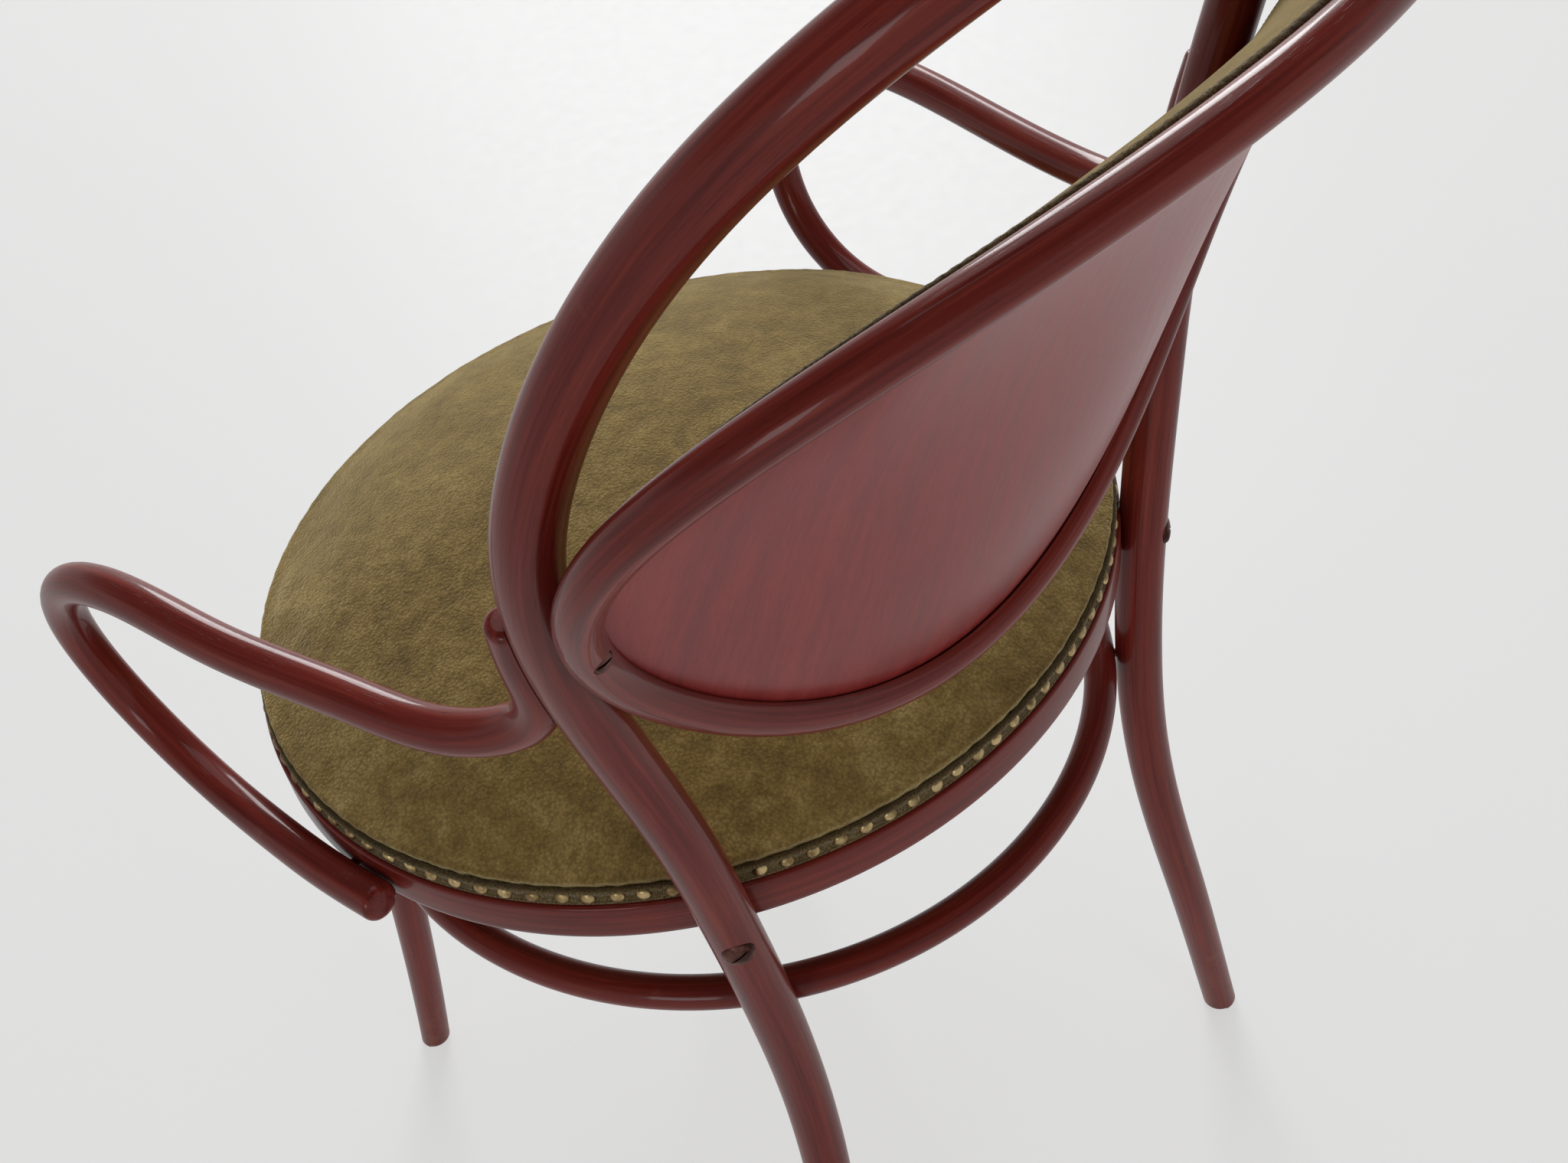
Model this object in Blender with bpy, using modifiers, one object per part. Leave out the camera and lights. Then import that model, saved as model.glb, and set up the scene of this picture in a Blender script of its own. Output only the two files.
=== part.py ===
"""Bentwood chair with low side arms, a round upholstered seat and an oval padded back.

Metres, +Z up, and the front of the chair faces -Y. The pieces are worked out round the seat's axis,
then the whole chair is moved so that the origin is on the floor below the middle of its overall box.
"""

import math

import bmesh
import bpy
import numpy as np
from mathutils import Matrix, Vector

OBJECT_NAME = "bentwood_chair"
GAP = 0.0003

# Bent rods
HOOP_DIAMETER = 0.0245
HOOP_FOOT_DIAMETER = 0.0200
RING_DIAMETER = 0.0172
STRETCHER_DIAMETER = 0.0170
ARM_DIAMETER = 0.0190
LEG_DIAMETER = 0.0235
LEG_FOOT_DIAMETER = 0.0190
FOOT_TAPER_HEIGHT = 0.34

# Seat rail, an oval bentwood ring with a rebate for the seat board
RAIL_HALF_WIDTH = 0.2290
RAIL_HALF_DEPTH = 0.2095
RAIL_LOW = 0.4100
RAIL_HEIGHT = 0.0240
RAIL_THICKNESS = 0.0260
RAIL_ROUND = 0.0060
REBATE_WIDTH = 0.0090
BOARD_THICKNESS = 0.0060

# Upholstered seat
TRIM_SETBACK = 0.0022
TRIM_THICKNESS = 0.0024
TRIM_HEIGHT = 0.0090
CUSHION_WALL = 0.0150
CUSHION_CROWN = 0.0460
CUSHION_BULGE = 0.0024

# Hoop: the rear legs and the outer back in one rod, stated from its bolt on the rail
REAR_POST_ANGLE = math.radians(39.4)
POST_NOTCH = 0.0020
FOOT_SPLAY = (0.0275, 0.0355)
SHIN_HEIGHT = 0.140
SHIN_OFFSET = (0.0035, 0.0250)
WAIST_HEIGHT = 0.280
WAIST_OFFSET = (-0.0113, 0.0080)
HIP_RISE = 0.066
HIP_OFFSET = (0.0135, -0.0010)
FLANK_RISE = 0.166
FLANK_OFFSET = (0.0370, -0.0015)
WIDEST_RISE = 0.266
WIDEST_OFFSET = (0.0505, 0.0175)
SHOULDER_RISE = 0.366
SHOULDER_OFFSET = (0.0215, 0.0625)
CROWN_RISE = 0.446
CROWN_OFFSET = (-0.0435, 0.1345)
TOP_RISE = 0.478
TOP_BACK = 0.345

# Back ring: an egg-shaped loop that curls backwards and touches the posts from behind, and its dished board
RING_LOW_RISE = 0.063
RING_HEIGHT = 0.315
RING_EGG = 0.27
RING_BLUNT = 0.065
BACK_LEAN = 0.0508
BACK_BOW = 0.0698
BACK_CURL = 0.0210
BACK_HOLLOW = 0.0520
BACK_BOARD_THICKNESS = 0.0040
BACK_GROOVE = 0.0030
GROOVE_PLAY = 0.0006
PAD_THICKNESS = 0.0220
PAD_FULLNESS = 2.5

# Front legs
FRONT_LEG_ANGLE = math.radians(39.5)
FRONT_SPLAY = (0.0220, -0.0415)
FRONT_CURVE = 1.6
TENON_DIAMETER = 0.0150
TENON_LENGTH = 0.0130

# Stretcher ring
STRETCHER_DROP = 0.070

# Arms: a loop from a scarf on the outer front of the post to the side of the rail
ARM_TIP_RISE = 0.0028
ARM_TIP_DIAMETER = 0.0150
ARM_TIP_PROUD = 0.0078
ARM_BEND_DROP = 0.0596
ARM_BEND_PROUD = 0.0150
ARM_APPROACH = math.radians(35.0)
ARM_HEIGHT = 0.132
ARM_HEEL = (0.0133, -0.0332, 0.0062)
ARM_HOLLOW = (0.0253, -0.0920)
ARM_ELBOW = (0.0110, -0.1640)
ARM_SPREAD = 0.0205
ARM_REACH = 0.152
ARM_RUN_HEIGHT = 0.008
ARM_RUN_RISE = 0.003
ARM_RUN_FRONT = -0.045
ARM_RUN_BACK = 0.032
# The turn of the nose: inset from its widest line, share of the reach, share of the fall to the rail
ARM_TURN = (
    (0.0045, 0.46, 0.00),
    (0.0000, 0.82, 0.14),
    (0.0015, 1.00, 0.45),
    (0.0065, 0.93, 0.78),
    (0.0100, 0.66, 0.99),
)

# Fasteners
BOLT_DIAMETER = 0.0070
BOLT_HEAD = (0.0140, 0.0040)
NUT_SIZE = (0.0130, 0.0055)
WASHER_SIZE = (0.0160, 0.0014)
SCREW_DIAMETER = 0.0045
SCREW_HEAD = (0.0085, 0.0026)
SCREW_BITE = 0.0110
SCREW_COVER = 0.0035
HEAD_RIM = 0.35
SPOT_FACE = 0.0022
BOLT_TAIL = 0.0020
HOLLOW_PLAY = 0.0008

# Fineness of the round shapes
ROD_FACETS = 3
HOOP_POINTS = 84
ARM_POINTS = 42
LEG_POINTS = 12
RING_POINTS = 52
SEAT_SEGMENTS = 56
FASTENER_SEGMENTS = 8
BOARD_GRID = (14, 18)
PAD_GRID = (40, 14)

# Values that follow from the sizes above
RAIL_TOP = RAIL_LOW + RAIL_HEIGHT
SEAT_RATIO = RAIL_HALF_DEPTH / RAIL_HALF_WIDTH
REBATE_FLOOR = RAIL_TOP - BOARD_THICKNESS - GAP
BOLT_HEIGHT = (RAIL_LOW + REBATE_FLOOR) / 2
RING_LOW = RAIL_TOP + RING_LOW_RISE
RING_MIDDLE = RING_LOW + RING_HEIGHT / 2
TRIM_OUTER = RAIL_HALF_WIDTH - TRIM_SETBACK
FACET_REACH = math.cos(math.pi / (2 * ROD_FACETS + 4))
CUSHION_WALL_RADIUS = TRIM_OUTER - TRIM_THICKNESS - GAP
ARM_TIP = RING_MIDDLE + ARM_TIP_RISE
ARM_BEND = RING_MIDDLE - ARM_BEND_DROP


# Scene helpers
def clear_scene():
    for item in list(bpy.data.objects):
        bpy.data.objects.remove(item, do_unlink=True)


def new_collection(name):
    collection = bpy.data.collections.new(name)
    bpy.context.scene.collection.children.link(collection)
    return collection


def finish_material(name, colour, roughness, metallic=0.0):
    material = bpy.data.materials.new(name)
    material.use_nodes = True
    shader = material.node_tree.nodes["Principled BSDF"]
    shader.inputs["Base Color"].default_value = (*colour, 1.0)
    shader.inputs["Roughness"].default_value = roughness
    shader.inputs["Metallic"].default_value = metallic
    return material


def add_object(name, mesh, collection, material=None):
    item = bpy.data.objects.new(name, mesh)
    collection.objects.link(item)
    if material:
        mesh.materials.append(material)
        mesh.shade_smooth()
        mesh.set_sharp_from_angle(angle=math.radians(35))
    return item


def mesh_from(name, bm):
    bmesh.ops.recalc_face_normals(bm, faces=bm.faces)
    if bm.calc_volume(signed=True) < 0:
        bmesh.ops.reverse_faces(bm, faces=bm.faces)
    mesh = bpy.data.meshes.new(name)
    bm.to_mesh(mesh)
    bm.free()
    return mesh


def cut(target, cutter):
    modifier = target.modifiers.new("cut_" + cutter.name, "BOOLEAN")
    modifier.operation = "DIFFERENCE"
    modifier.solver = "EXACT"
    modifier.object = cutter


def thicken(sheet, thickness):
    modifier = sheet.modifiers.new("thickness", "SOLIDIFY")
    modifier.thickness = thickness
    modifier.offset = 0.0


# Paths
def smooth_path(knots, count):
    """Evenly spaced points on a natural cubic spline through the knots."""
    knots = np.array(knots, float)
    spans = np.linalg.norm(np.diff(knots, axis=0), axis=1)
    along = np.concatenate([[0.0], np.cumsum(spans)])
    slopes = np.diff(knots, axis=0) / spans[:, None]
    system = np.eye(len(knots))
    target = np.zeros_like(knots)
    for i in range(1, len(knots) - 1):
        system[i, i - 1 : i + 2] = spans[i - 1], 2 * (spans[i - 1] + spans[i]), spans[i]
        target[i] = 6 * (slopes[i] - slopes[i - 1])
    bend = np.linalg.solve(system, target)
    place = np.linspace(0, along[-1], count)
    k = np.clip(np.searchsorted(along, place, side="right") - 1, 0, len(spans) - 1)
    span = spans[k][:, None]
    a = (along[k + 1] - place)[:, None] / span
    b = 1 - a
    bow = (a**3 - a) * bend[k] + (b**3 - b) * bend[k + 1]
    return a * knots[k] + b * knots[k + 1] + bow * span**2 / 6


def mirrored(points):
    return np.array(points) * np.array([-1.0, 1.0, 1.0])


def point_at_height(path, height):
    """The point and unit tangent where a rising path passes a height."""
    point = np.array([np.interp(height, path[:, 2], path[:, axis]) for axis in range(3)])
    k = int(np.clip(np.searchsorted(path[:, 2], height), 1, len(path) - 1))
    tangent = path[k] - path[k - 1]
    return point, tangent / np.linalg.norm(tangent)


def closest_approach(first, second):
    offsets = first[:, None, :] - second[None, :, :]
    return float(np.sqrt((offsets**2).sum(axis=2)).min())


def oval_point(half_width, half_depth, angle):
    """A point on an oval round the Z axis, its angle counted from +Y towards +X."""
    return np.array([half_width * math.sin(angle), half_depth * math.cos(angle)])


def oval_normal(half_width, half_depth, angle):
    normal = np.array([math.sin(angle) / half_width, math.cos(angle) / half_depth])
    return normal / np.linalg.norm(normal)


def distance_to_oval(start, direction, half_width, half_depth):
    """How far a plan ray runs until it meets an oval for the first time."""
    size = np.array([half_width, half_depth])
    p, d = np.array(start) / size, np.array(direction) / size
    a, b, c = d @ d, 2 * (p @ d), p @ p - 1
    return (-b - math.sqrt(b * b - 4 * a * c)) / (2 * a)


# Solids
def bent_rod(name, path, radii, cyclic=False):
    """A round rod along a path, as a mesh with its end caps welded on."""
    curve = bpy.data.curves.new(name, "CURVE")
    curve.dimensions = "3D"
    curve.bevel_depth = 1.0
    curve.bevel_resolution = ROD_FACETS
    curve.use_fill_caps = not cyclic
    spline = curve.splines.new("POLY")
    spline.points.add(len(path) - 1)
    spline.use_cyclic_u = cyclic
    for point, place, radius in zip(spline.points, path, radii):
        point.co = (*place, 1.0)
        point.radius = radius
    guide = bpy.data.objects.new(name + "_guide", curve)
    bpy.context.scene.collection.objects.link(guide)
    bpy.context.view_layer.update()
    mesh = bpy.data.meshes.new_from_object(guide.evaluated_get(bpy.context.evaluated_depsgraph_get()))
    bpy.data.objects.remove(guide)
    bpy.data.curves.remove(curve)
    bm = bmesh.new()
    bm.from_mesh(mesh)
    bpy.data.meshes.remove(mesh)
    bmesh.ops.remove_doubles(bm, verts=bm.verts, dist=1e-6)
    return mesh_from(name, bm)


def turned(name, profile, segments, closed=False, ratio=1.0):
    """A profile of (radius, height) pairs spun round Z, then drawn in along Y by the ratio."""
    bm = bmesh.new()
    corners = [bm.verts.new((radius, 0.0, height)) for radius, height in profile]
    pairs = list(zip(corners, corners[1:]))
    if closed:
        pairs.append((corners[-1], corners[0]))
    edges = [bm.edges.new(pair) for pair in pairs]
    bmesh.ops.spin(
        bm,
        geom=corners + edges,
        cent=(0, 0, 0),
        axis=(0, 0, 1),
        angle=2 * math.pi,
        steps=segments,
        use_merge=True,
    )
    bmesh.ops.remove_doubles(bm, verts=bm.verts, dist=1e-6)
    bmesh.ops.scale(bm, verts=bm.verts, vec=(1.0, ratio, 1.0))
    return mesh_from(name, bm)


def arc(centre, radius, start, end, steps):
    """Points of a circular arc in a profile, its angles in degrees."""
    angles = np.radians(np.linspace(start, end, steps + 1))
    return [(centre[0] + radius * math.cos(a), centre[1] + radius * math.sin(a)) for a in angles]


def fastener_profile(head, shank, length):
    """A domed head above its seat at height 0, and a plain shank below it."""
    radius, height = head[0] / 2, head[1]
    rim = height * HEAD_RIM
    angles = np.radians([0, 45, 90])
    dome = [(radius * math.sin(a), rim + (height - rim) * math.cos(a)) for a in angles]
    return [*dome, (radius, 0.0), (shank / 2, 0.0), (shank / 2, -length), (0.0, -length)]


def fastener_bore(head, shank, length):
    """The room that a fastener needs: its own shape and a gap, open above the head."""
    wide, narrow = head[0] / 2 + GAP, shank / 2 + GAP
    reach, deep = 4 * head[1], length + GAP
    step = [(wide, reach), (wide, -GAP), (narrow, -GAP), (narrow, -deep)]
    return [(0.0, reach), *step, (0.0, -deep)]


class Chair:
    """Builds the chair's pieces in the order a maker would put them together."""

    def __init__(self):
        clear_scene()
        self.parts = new_collection(OBJECT_NAME)
        self.cutters = new_collection("cutters")
        self.cutters.hide_render = True
        self.root = bpy.data.objects.new(OBJECT_NAME + "_root", None)
        self.parts.objects.link(self.root)
        self.pieces = {}
        self.wood = finish_material("stained_beech", (0.15, 0.030, 0.026), 0.28)
        self.veneer = finish_material("stained_ply", (0.20, 0.055, 0.050), 0.35)
        self.board = finish_material("plain_ply", (0.42, 0.29, 0.17), 0.70)
        self.fabric = finish_material("olive_fabric", (0.22, 0.17, 0.065), 0.95)
        self.gimp = finish_material("gimp_braid", (0.12, 0.085, 0.035), 0.90)
        self.steel = finish_material("dark_steel", (0.30, 0.28, 0.26), 0.40, 1.0)

    def piece(self, name, mesh, material):
        item = add_object(name, mesh, self.parts, material)
        item.parent = self.root
        self.pieces[name] = item
        return item

    def cutter(self, name, mesh):
        item = add_object(name, mesh, self.cutters)
        item.parent = self.root
        item.hide_render = True
        item.display_type = "WIRE"
        return item

    def floor_cut(self):
        """A block below the floor that trims the feet flat."""
        bm = bmesh.new()
        bmesh.ops.create_cube(bm, size=1.0)
        bmesh.ops.translate(bm, verts=bm.verts, vec=(0.0, 0.0, -0.5))
        return self.cutter("floor_block", mesh_from("floor_block", bm))

    def fasten(self, name, seat, axis, head, shank, length, through):
        """A headed fastener with its bore cut through the pieces that it joins."""
        turn = Vector((0, 0, 1)).rotation_difference(Vector(axis))
        place = Matrix.Translation(Vector(seat)) @ turn.to_matrix().to_4x4()
        solid = turned(name, fastener_profile(head, shank, length), FASTENER_SEGMENTS)
        self.piece(name, solid, self.steel).matrix_world = place
        room = turned(name + "_bore", fastener_bore(head, shank, length), FASTENER_SEGMENTS)
        bore = self.cutter(name + "_bore", room)
        bore.matrix_world = place
        for target in through:
            cut(self.pieces[target], bore)

    def seat_frame(self):
        """The rail, with a rebated top, and the board that lies in the rebate."""
        outer, inner = RAIL_HALF_WIDTH, RAIL_HALF_WIDTH - RAIL_THICKNESS
        crest = RAIL_ROUND / 3
        profile = [
            (inner, RAIL_LOW),
            *arc((outer - RAIL_ROUND, RAIL_LOW + RAIL_ROUND), RAIL_ROUND, -90, 0, 3),
            *arc((outer - crest, RAIL_TOP - crest), crest, 0, 90, 2),
            (inner + REBATE_WIDTH, RAIL_TOP),
            (inner + REBATE_WIDTH, REBATE_FLOOR),
            (inner, REBATE_FLOOR),
        ]
        rail = turned("seat_rail", profile, SEAT_SEGMENTS, closed=True, ratio=SEAT_RATIO)
        self.piece("seat_rail", rail, self.wood)
        edge = inner + REBATE_WIDTH - GAP
        low = REBATE_FLOOR + GAP
        disc = [(0.0, low + BOARD_THICKNESS), (edge, low + BOARD_THICKNESS), (edge, low), (0.0, low)]
        board = turned("seat_board", disc, SEAT_SEGMENTS, ratio=SEAT_RATIO)
        self.piece("seat_board", board, self.board)

    def seat_upholstery(self):
        """The domed cushion on the rail and the braid round its lower edge."""
        base = RAIL_TOP + GAP
        wall = CUSHION_WALL_RADIUS
        lip = base + TRIM_HEIGHT + GAP
        shoulder = base + CUSHION_WALL
        bulge = wall + CUSHION_BULGE
        crown = [(bulge * s, shoulder + CUSHION_CROWN * (1 - s**2)) for s in np.linspace(0, 0.96, 7)]
        side = [(bulge, shoulder), (wall, lip), (wall, base), (0.0, base)]
        cushion = turned("seat_cushion", [*crown, *side], SEAT_SEGMENTS, ratio=SEAT_RATIO)
        self.piece("seat_cushion", cushion, self.fabric)
        inside, top = wall + GAP, base + TRIM_HEIGHT
        band = [(TRIM_OUTER, base), (TRIM_OUTER, top), (inside, top), (inside, base)]
        trim = turned("seat_trim", band, SEAT_SEGMENTS, closed=True, ratio=SEAT_RATIO)
        self.piece("seat_trim", trim, self.gimp)

    def hoop_path(self):
        """The left side of the hoop from below its foot up to the top, and its bolt on the rail."""
        normal = oval_normal(RAIL_HALF_WIDTH, RAIL_HALF_DEPTH, REAR_POST_ANGLE)
        stand_off = HOOP_DIAMETER / 2 + GAP - POST_NOTCH
        bolt = oval_point(RAIL_HALF_WIDTH, RAIL_HALF_DEPTH, REAR_POST_ANGLE) + normal * stand_off
        places = [
            (FOOT_SPLAY, 0.0),
            (SHIN_OFFSET, SHIN_HEIGHT),
            (WAIST_OFFSET, WAIST_HEIGHT),
            ((0.0, 0.0), BOLT_HEIGHT),
            (HIP_OFFSET, RAIL_TOP + HIP_RISE),
            (FLANK_OFFSET, RAIL_TOP + FLANK_RISE),
            (WIDEST_OFFSET, RAIL_TOP + WIDEST_RISE),
            (SHOULDER_OFFSET, RAIL_TOP + SHOULDER_RISE),
            (CROWN_OFFSET, RAIL_TOP + CROWN_RISE),
        ]
        side = [np.array([*(bolt + np.array(offset)), height]) for offset, height in places]
        below = side[0] + (side[0] - side[1]) * (HOOP_FOOT_DIAMETER / SHIN_HEIGHT)
        left = [below, *side]
        top = np.array([0.0, TOP_BACK, RAIL_TOP + TOP_RISE])
        path = smooth_path([*left, top, *mirrored(left[::-1])], 2 * HOOP_POINTS - 1)
        return path, path[:HOOP_POINTS], bolt, normal

    def hoop(self):
        path, self.left_post, self.rail_bolt, self.rail_normal = self.hoop_path()
        self.piece("back_hoop", bent_rod("back_hoop", path[::2], self.hoop_radius(path[::2, 2])), self.wood)
        cut(self.pieces["back_hoop"], self.floor)
        for side, label in ((1, "left"), (-1, "right")):
            low, high = BOLT_HEIGHT - 2 * RAIL_HEIGHT, BOLT_HEIGHT + 2 * RAIL_HEIGHT
            cut(self.pieces["seat_rail"], self.post_room("post_notch_" + label, side, low, high))

    def post_room(self, name, side, low, high):
        """A cutter that leaves room for a stretch of a post in the pieces that are fitted to it."""
        heights = self.left_post[:, 2]
        stretch = self.left_post[(heights > low) & (heights < high)] * np.array([side, 1, 1])
        radii = (self.hoop_radius(stretch[:, 2]) + GAP) / FACET_REACH
        return self.cutter(name, bent_rod(name, stretch, radii))

    def hoop_radius(self, height):
        rise = np.clip(np.array(height) / FOOT_TAPER_HEIGHT, 0, 1)
        return (HOOP_FOOT_DIAMETER + (HOOP_DIAMETER - HOOP_FOOT_DIAMETER) * rise) / 2

    def rail_bolts(self):
        """A bolt through each post and the rail, with its washer and nut inside the rail."""
        seat_depth = HOOP_DIAMETER / 2 - SPOT_FACE
        inner = RAIL_HALF_WIDTH - RAIL_THICKNESS
        for side, label in ((1, "left"), (-1, "right")):
            mirror = np.array([side, 1])
            outward = np.array([*(self.rail_normal * mirror), 0.0])
            centre = np.array([*(self.rail_bolt * mirror), BOLT_HEIGHT])
            past_face = distance_to_oval(self.rail_bolt, -self.rail_normal, inner, inner * SEAT_RATIO)
            washer_at = past_face + HOLLOW_PLAY
            nut_at = washer_at + WASHER_SIZE[1] + GAP
            length = seat_depth + nut_at + NUT_SIZE[1] + BOLT_TAIL
            name = "rail_bolt_" + label
            seat = centre + outward * seat_depth
            self.fasten(name, seat, outward, BOLT_HEAD, BOLT_DIAMETER, length, ["back_hoop", "seat_rail"])
            hole = BOLT_DIAMETER / 2 + GAP
            turn = Vector((0, 0, 1)).rotation_difference(Vector(-outward)).to_matrix().to_4x4()
            rings = (
                ("rail_washer_", WASHER_SIZE, washer_at, FASTENER_SEGMENTS, hole),
                ("rail_nut_", NUT_SIZE, nut_at, 6, hole / math.cos(math.pi / 6)),
            )
            for prefix, size, distance, segments, bore in rings:
                band = [(size[0] / 2, 0.0), (size[0] / 2, size[1]), (bore, size[1]), (bore, 0.0)]
                ring = turned(prefix + label, band, segments, closed=True)
                place = Matrix.Translation(Vector(centre - outward * distance)) @ turn
                self.piece(prefix + label, ring, self.steel).matrix_world = place

    def front_legs(self):
        """Sabre-curved front legs, each with a tenon up into the rail."""
        middle = RAIL_HALF_WIDTH - RAIL_THICKNESS / 2
        top = oval_point(middle, middle * SEAT_RATIO, math.pi - FRONT_LEG_ANGLE)
        shoulder = RAIL_LOW - GAP
        self.leg_path = []
        fall = np.linspace(0, 1 + LEG_FOOT_DIAMETER / RAIL_LOW, LEG_POINTS)
        for share in fall[::-1]:
            plan = top + np.array(FRONT_SPLAY) * share**FRONT_CURVE
            self.leg_path.append(np.array([*plan, shoulder * (1 - share)]))
        self.leg_path = np.array(self.leg_path)
        tenon = [np.array([*top, shoulder + rise]) for rise in (GAP / 2, TENON_LENGTH)]
        radii = [*self.leg_radius(self.leg_path[:, 2]), TENON_DIAMETER / 2, TENON_DIAMETER / 2]
        socket_radius = TENON_DIAMETER / 2 + GAP
        deep = shoulder + TENON_LENGTH + GAP
        mouth = shoulder - GAP
        socket = [(0.0, deep), (socket_radius, deep), (socket_radius, mouth), (0.0, mouth)]
        for side, label in ((1, "left"), (-1, "right")):
            name = "front_leg_" + label
            path = np.array([*self.leg_path, *tenon]) * np.array([side, 1, 1])
            self.piece(name, bent_rod(name, path, radii), self.wood)
            cut(self.pieces[name], self.floor)
            name = "leg_socket_" + label
            bore = self.cutter(name, turned(name, socket, 2 * FASTENER_SEGMENTS))
            bore.location = (side * top[0], top[1], 0.0)
            cut(self.pieces["seat_rail"], bore)

    def leg_radius(self, height):
        rise = np.clip(np.array(height) / FOOT_TAPER_HEIGHT, 0, 1)
        return (LEG_FOOT_DIAMETER + (LEG_DIAMETER - LEG_FOOT_DIAMETER) * rise) / 2

    def stretcher(self):
        """A ring inside the four legs, its centre found where it touches front and rear alike."""
        height = RAIL_LOW - STRETCHER_DROP
        post, _ = point_at_height(self.left_post, height)
        leg, _ = point_at_height(self.leg_path, height)
        contacts = ((post, float(self.hoop_radius(height))), (leg, float(self.leg_radius(height))))

        def room(point, radius, centre):
            return math.hypot(point[0], point[1] - centre) - radius

        low, high = leg[1], post[1]
        for _ in range(50):
            centre = (low + high) / 2
            if room(*contacts[0], centre) > room(*contacts[1], centre):
                low = centre
            else:
                high = centre
        radius = room(*contacts[0], centre) - STRETCHER_DIAMETER / 2 - GAP
        angles = np.linspace(0, 2 * math.pi, SEAT_SEGMENTS, endpoint=False)
        path = np.array([(radius * math.sin(a), centre + radius * math.cos(a), height) for a in angles])
        rod = bent_rod("stretcher_ring", path, [STRETCHER_DIAMETER / 2] * len(path), cyclic=True)
        self.piece("stretcher_ring", rod, self.wood)
        seat_depth = STRETCHER_DIAMETER / 2 - SPOT_FACE
        length = seat_depth + STRETCHER_DIAMETER / 2 + GAP + SCREW_BITE
        for end, (point, _) in zip(("rear", "front"), contacts):
            for side, label in ((1, "left"), (-1, "right")):
                plan = np.array([side * point[0], point[1] - centre])
                inward = np.array([*(-plan / np.linalg.norm(plan)), 0.0])
                seat = np.array([0.0, centre, height]) - inward * (radius - seat_depth)
                holder = "back_hoop" if end == "rear" else "front_leg_" + label
                joined = ["stretcher_ring", holder]
                name = f"stretcher_screw_{end}_{label}"
                self.fasten(name, seat, inward, SCREW_HEAD, SCREW_DIAMETER, length, joined)

    def ring_shape(self):
        """Fits the back ring behind the posts: its half width, and how far back its middle lies."""
        wanted = (HOOP_DIAMETER + RING_DIAMETER) / 2 + GAP
        post, tangent = point_at_height(self.left_post, RING_MIDDLE)
        step = wanted / math.sqrt(1 - tangent[1] ** 2)
        dense = smooth_path(self.left_post, 6 * HOOP_POINTS)
        self.ring_half_width = post[0]
        for _ in range(8):
            self.ring_back = post[1] + step
            step += wanted - closest_approach(dense, self.ring_path(8 * RING_POINTS))
        self.back_post = post
        self.ring_step = step

    def ring_path(self, count):
        turns = np.linspace(0, 2 * math.pi, count, endpoint=False)
        return np.array([self.back_point(math.sin(a), -math.cos(a)) for a in turns])

    def back_slope(self, share):
        """The angle by which the back leans, at a share from -1 at the bottom to 1 at the top."""
        run = BACK_LEAN + 2 * BACK_BOW * share + 3 * BACK_CURL * share**2
        return math.atan2(run, RING_HEIGHT / 2)

    def back_point(self, across, up, inset=0.0, forward=0.0):
        """A point of the back's curled and dished sheet, or in front of it.

        Across and up run from -1 to 1 at the ring's middle line, and the inset draws that line in.
        """
        top = 1 - 2 * inset * math.cos(self.back_slope(1)) / RING_HEIGHT
        bottom = 2 * inset * math.cos(self.back_slope(-1)) / RING_HEIGHT - 1
        share = (top + bottom) / 2 + (top - bottom) / 2 * up
        slope = self.back_slope(share)
        width = (self.ring_half_width - inset) * (1 + RING_EGG * up + RING_BLUNT * up**2)
        back = self.ring_back + BACK_LEAN * share + BACK_BOW * share**2 + BACK_CURL * share**3
        back += BACK_HOLLOW * max(0.0, 1 - across**2 - up**2)
        height = RING_MIDDLE + RING_HEIGHT / 2 * share
        return (width * across, back - forward * math.cos(slope), height + forward * math.sin(slope))

    def back_sheet(self, name, inset):
        """A sheet on the back's surface: a square grid drawn out to the oval."""
        bm = bmesh.new()
        bmesh.ops.create_grid(bm, x_segments=BOARD_GRID[0], y_segments=BOARD_GRID[1], size=1.0)
        for corner in bm.verts:
            a, b = corner.co.x, corner.co.y
            corner.co = self.back_point(a * math.sqrt(1 - b * b / 2), b * math.sqrt(1 - a * a / 2), inset)
        return mesh_from(name, bm)

    def back(self):
        """The oval ring with a groove, the board sprung into it and the pad on the board's front."""
        self.ring_shape()
        path = self.ring_path(RING_POINTS)
        ring = bent_rod("back_ring", path, [RING_DIAMETER / 2] * len(path), cyclic=True)
        self.piece("back_ring", ring, self.wood)
        inset = RING_DIAMETER / 2 - BACK_GROOVE
        board = self.piece("back_board", self.back_sheet("back_board", inset), self.veneer)
        thicken(board, BACK_BOARD_THICKNESS)
        groove = self.cutter("back_groove", self.back_sheet("back_groove", inset - GROOVE_PLAY))
        thicken(groove, BACK_BOARD_THICKNESS + 2 * GROOVE_PLAY)
        cut(self.pieces["back_ring"], groove)
        pad = self.piece("back_pad", self.pad_mesh(), self.fabric)
        cut(pad, groove)

    def pad_mesh(self):
        """A ball pressed flat on the sheet's middle, with a full front; the board's room is cut from it."""
        bm = bmesh.new()
        bmesh.ops.create_uvsphere(bm, u_segments=PAD_GRID[0], v_segments=PAD_GRID[1], radius=1.0)
        inset = RING_DIAMETER / 2 + 2 * GAP
        for corner in bm.verts:
            x, y, z = corner.co
            flat = math.hypot(x, y)
            reach = flat ** (2 / PAD_FULLNESS)
            grow = reach / flat if flat > 1e-6 else 0.0
            depth = PAD_THICKNESS * max(z, 0.0) ** (2 / PAD_FULLNESS)
            corner.co = self.back_point(x * grow, y * grow, inset, depth)
        return mesh_from("back_pad", bm)

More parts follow.
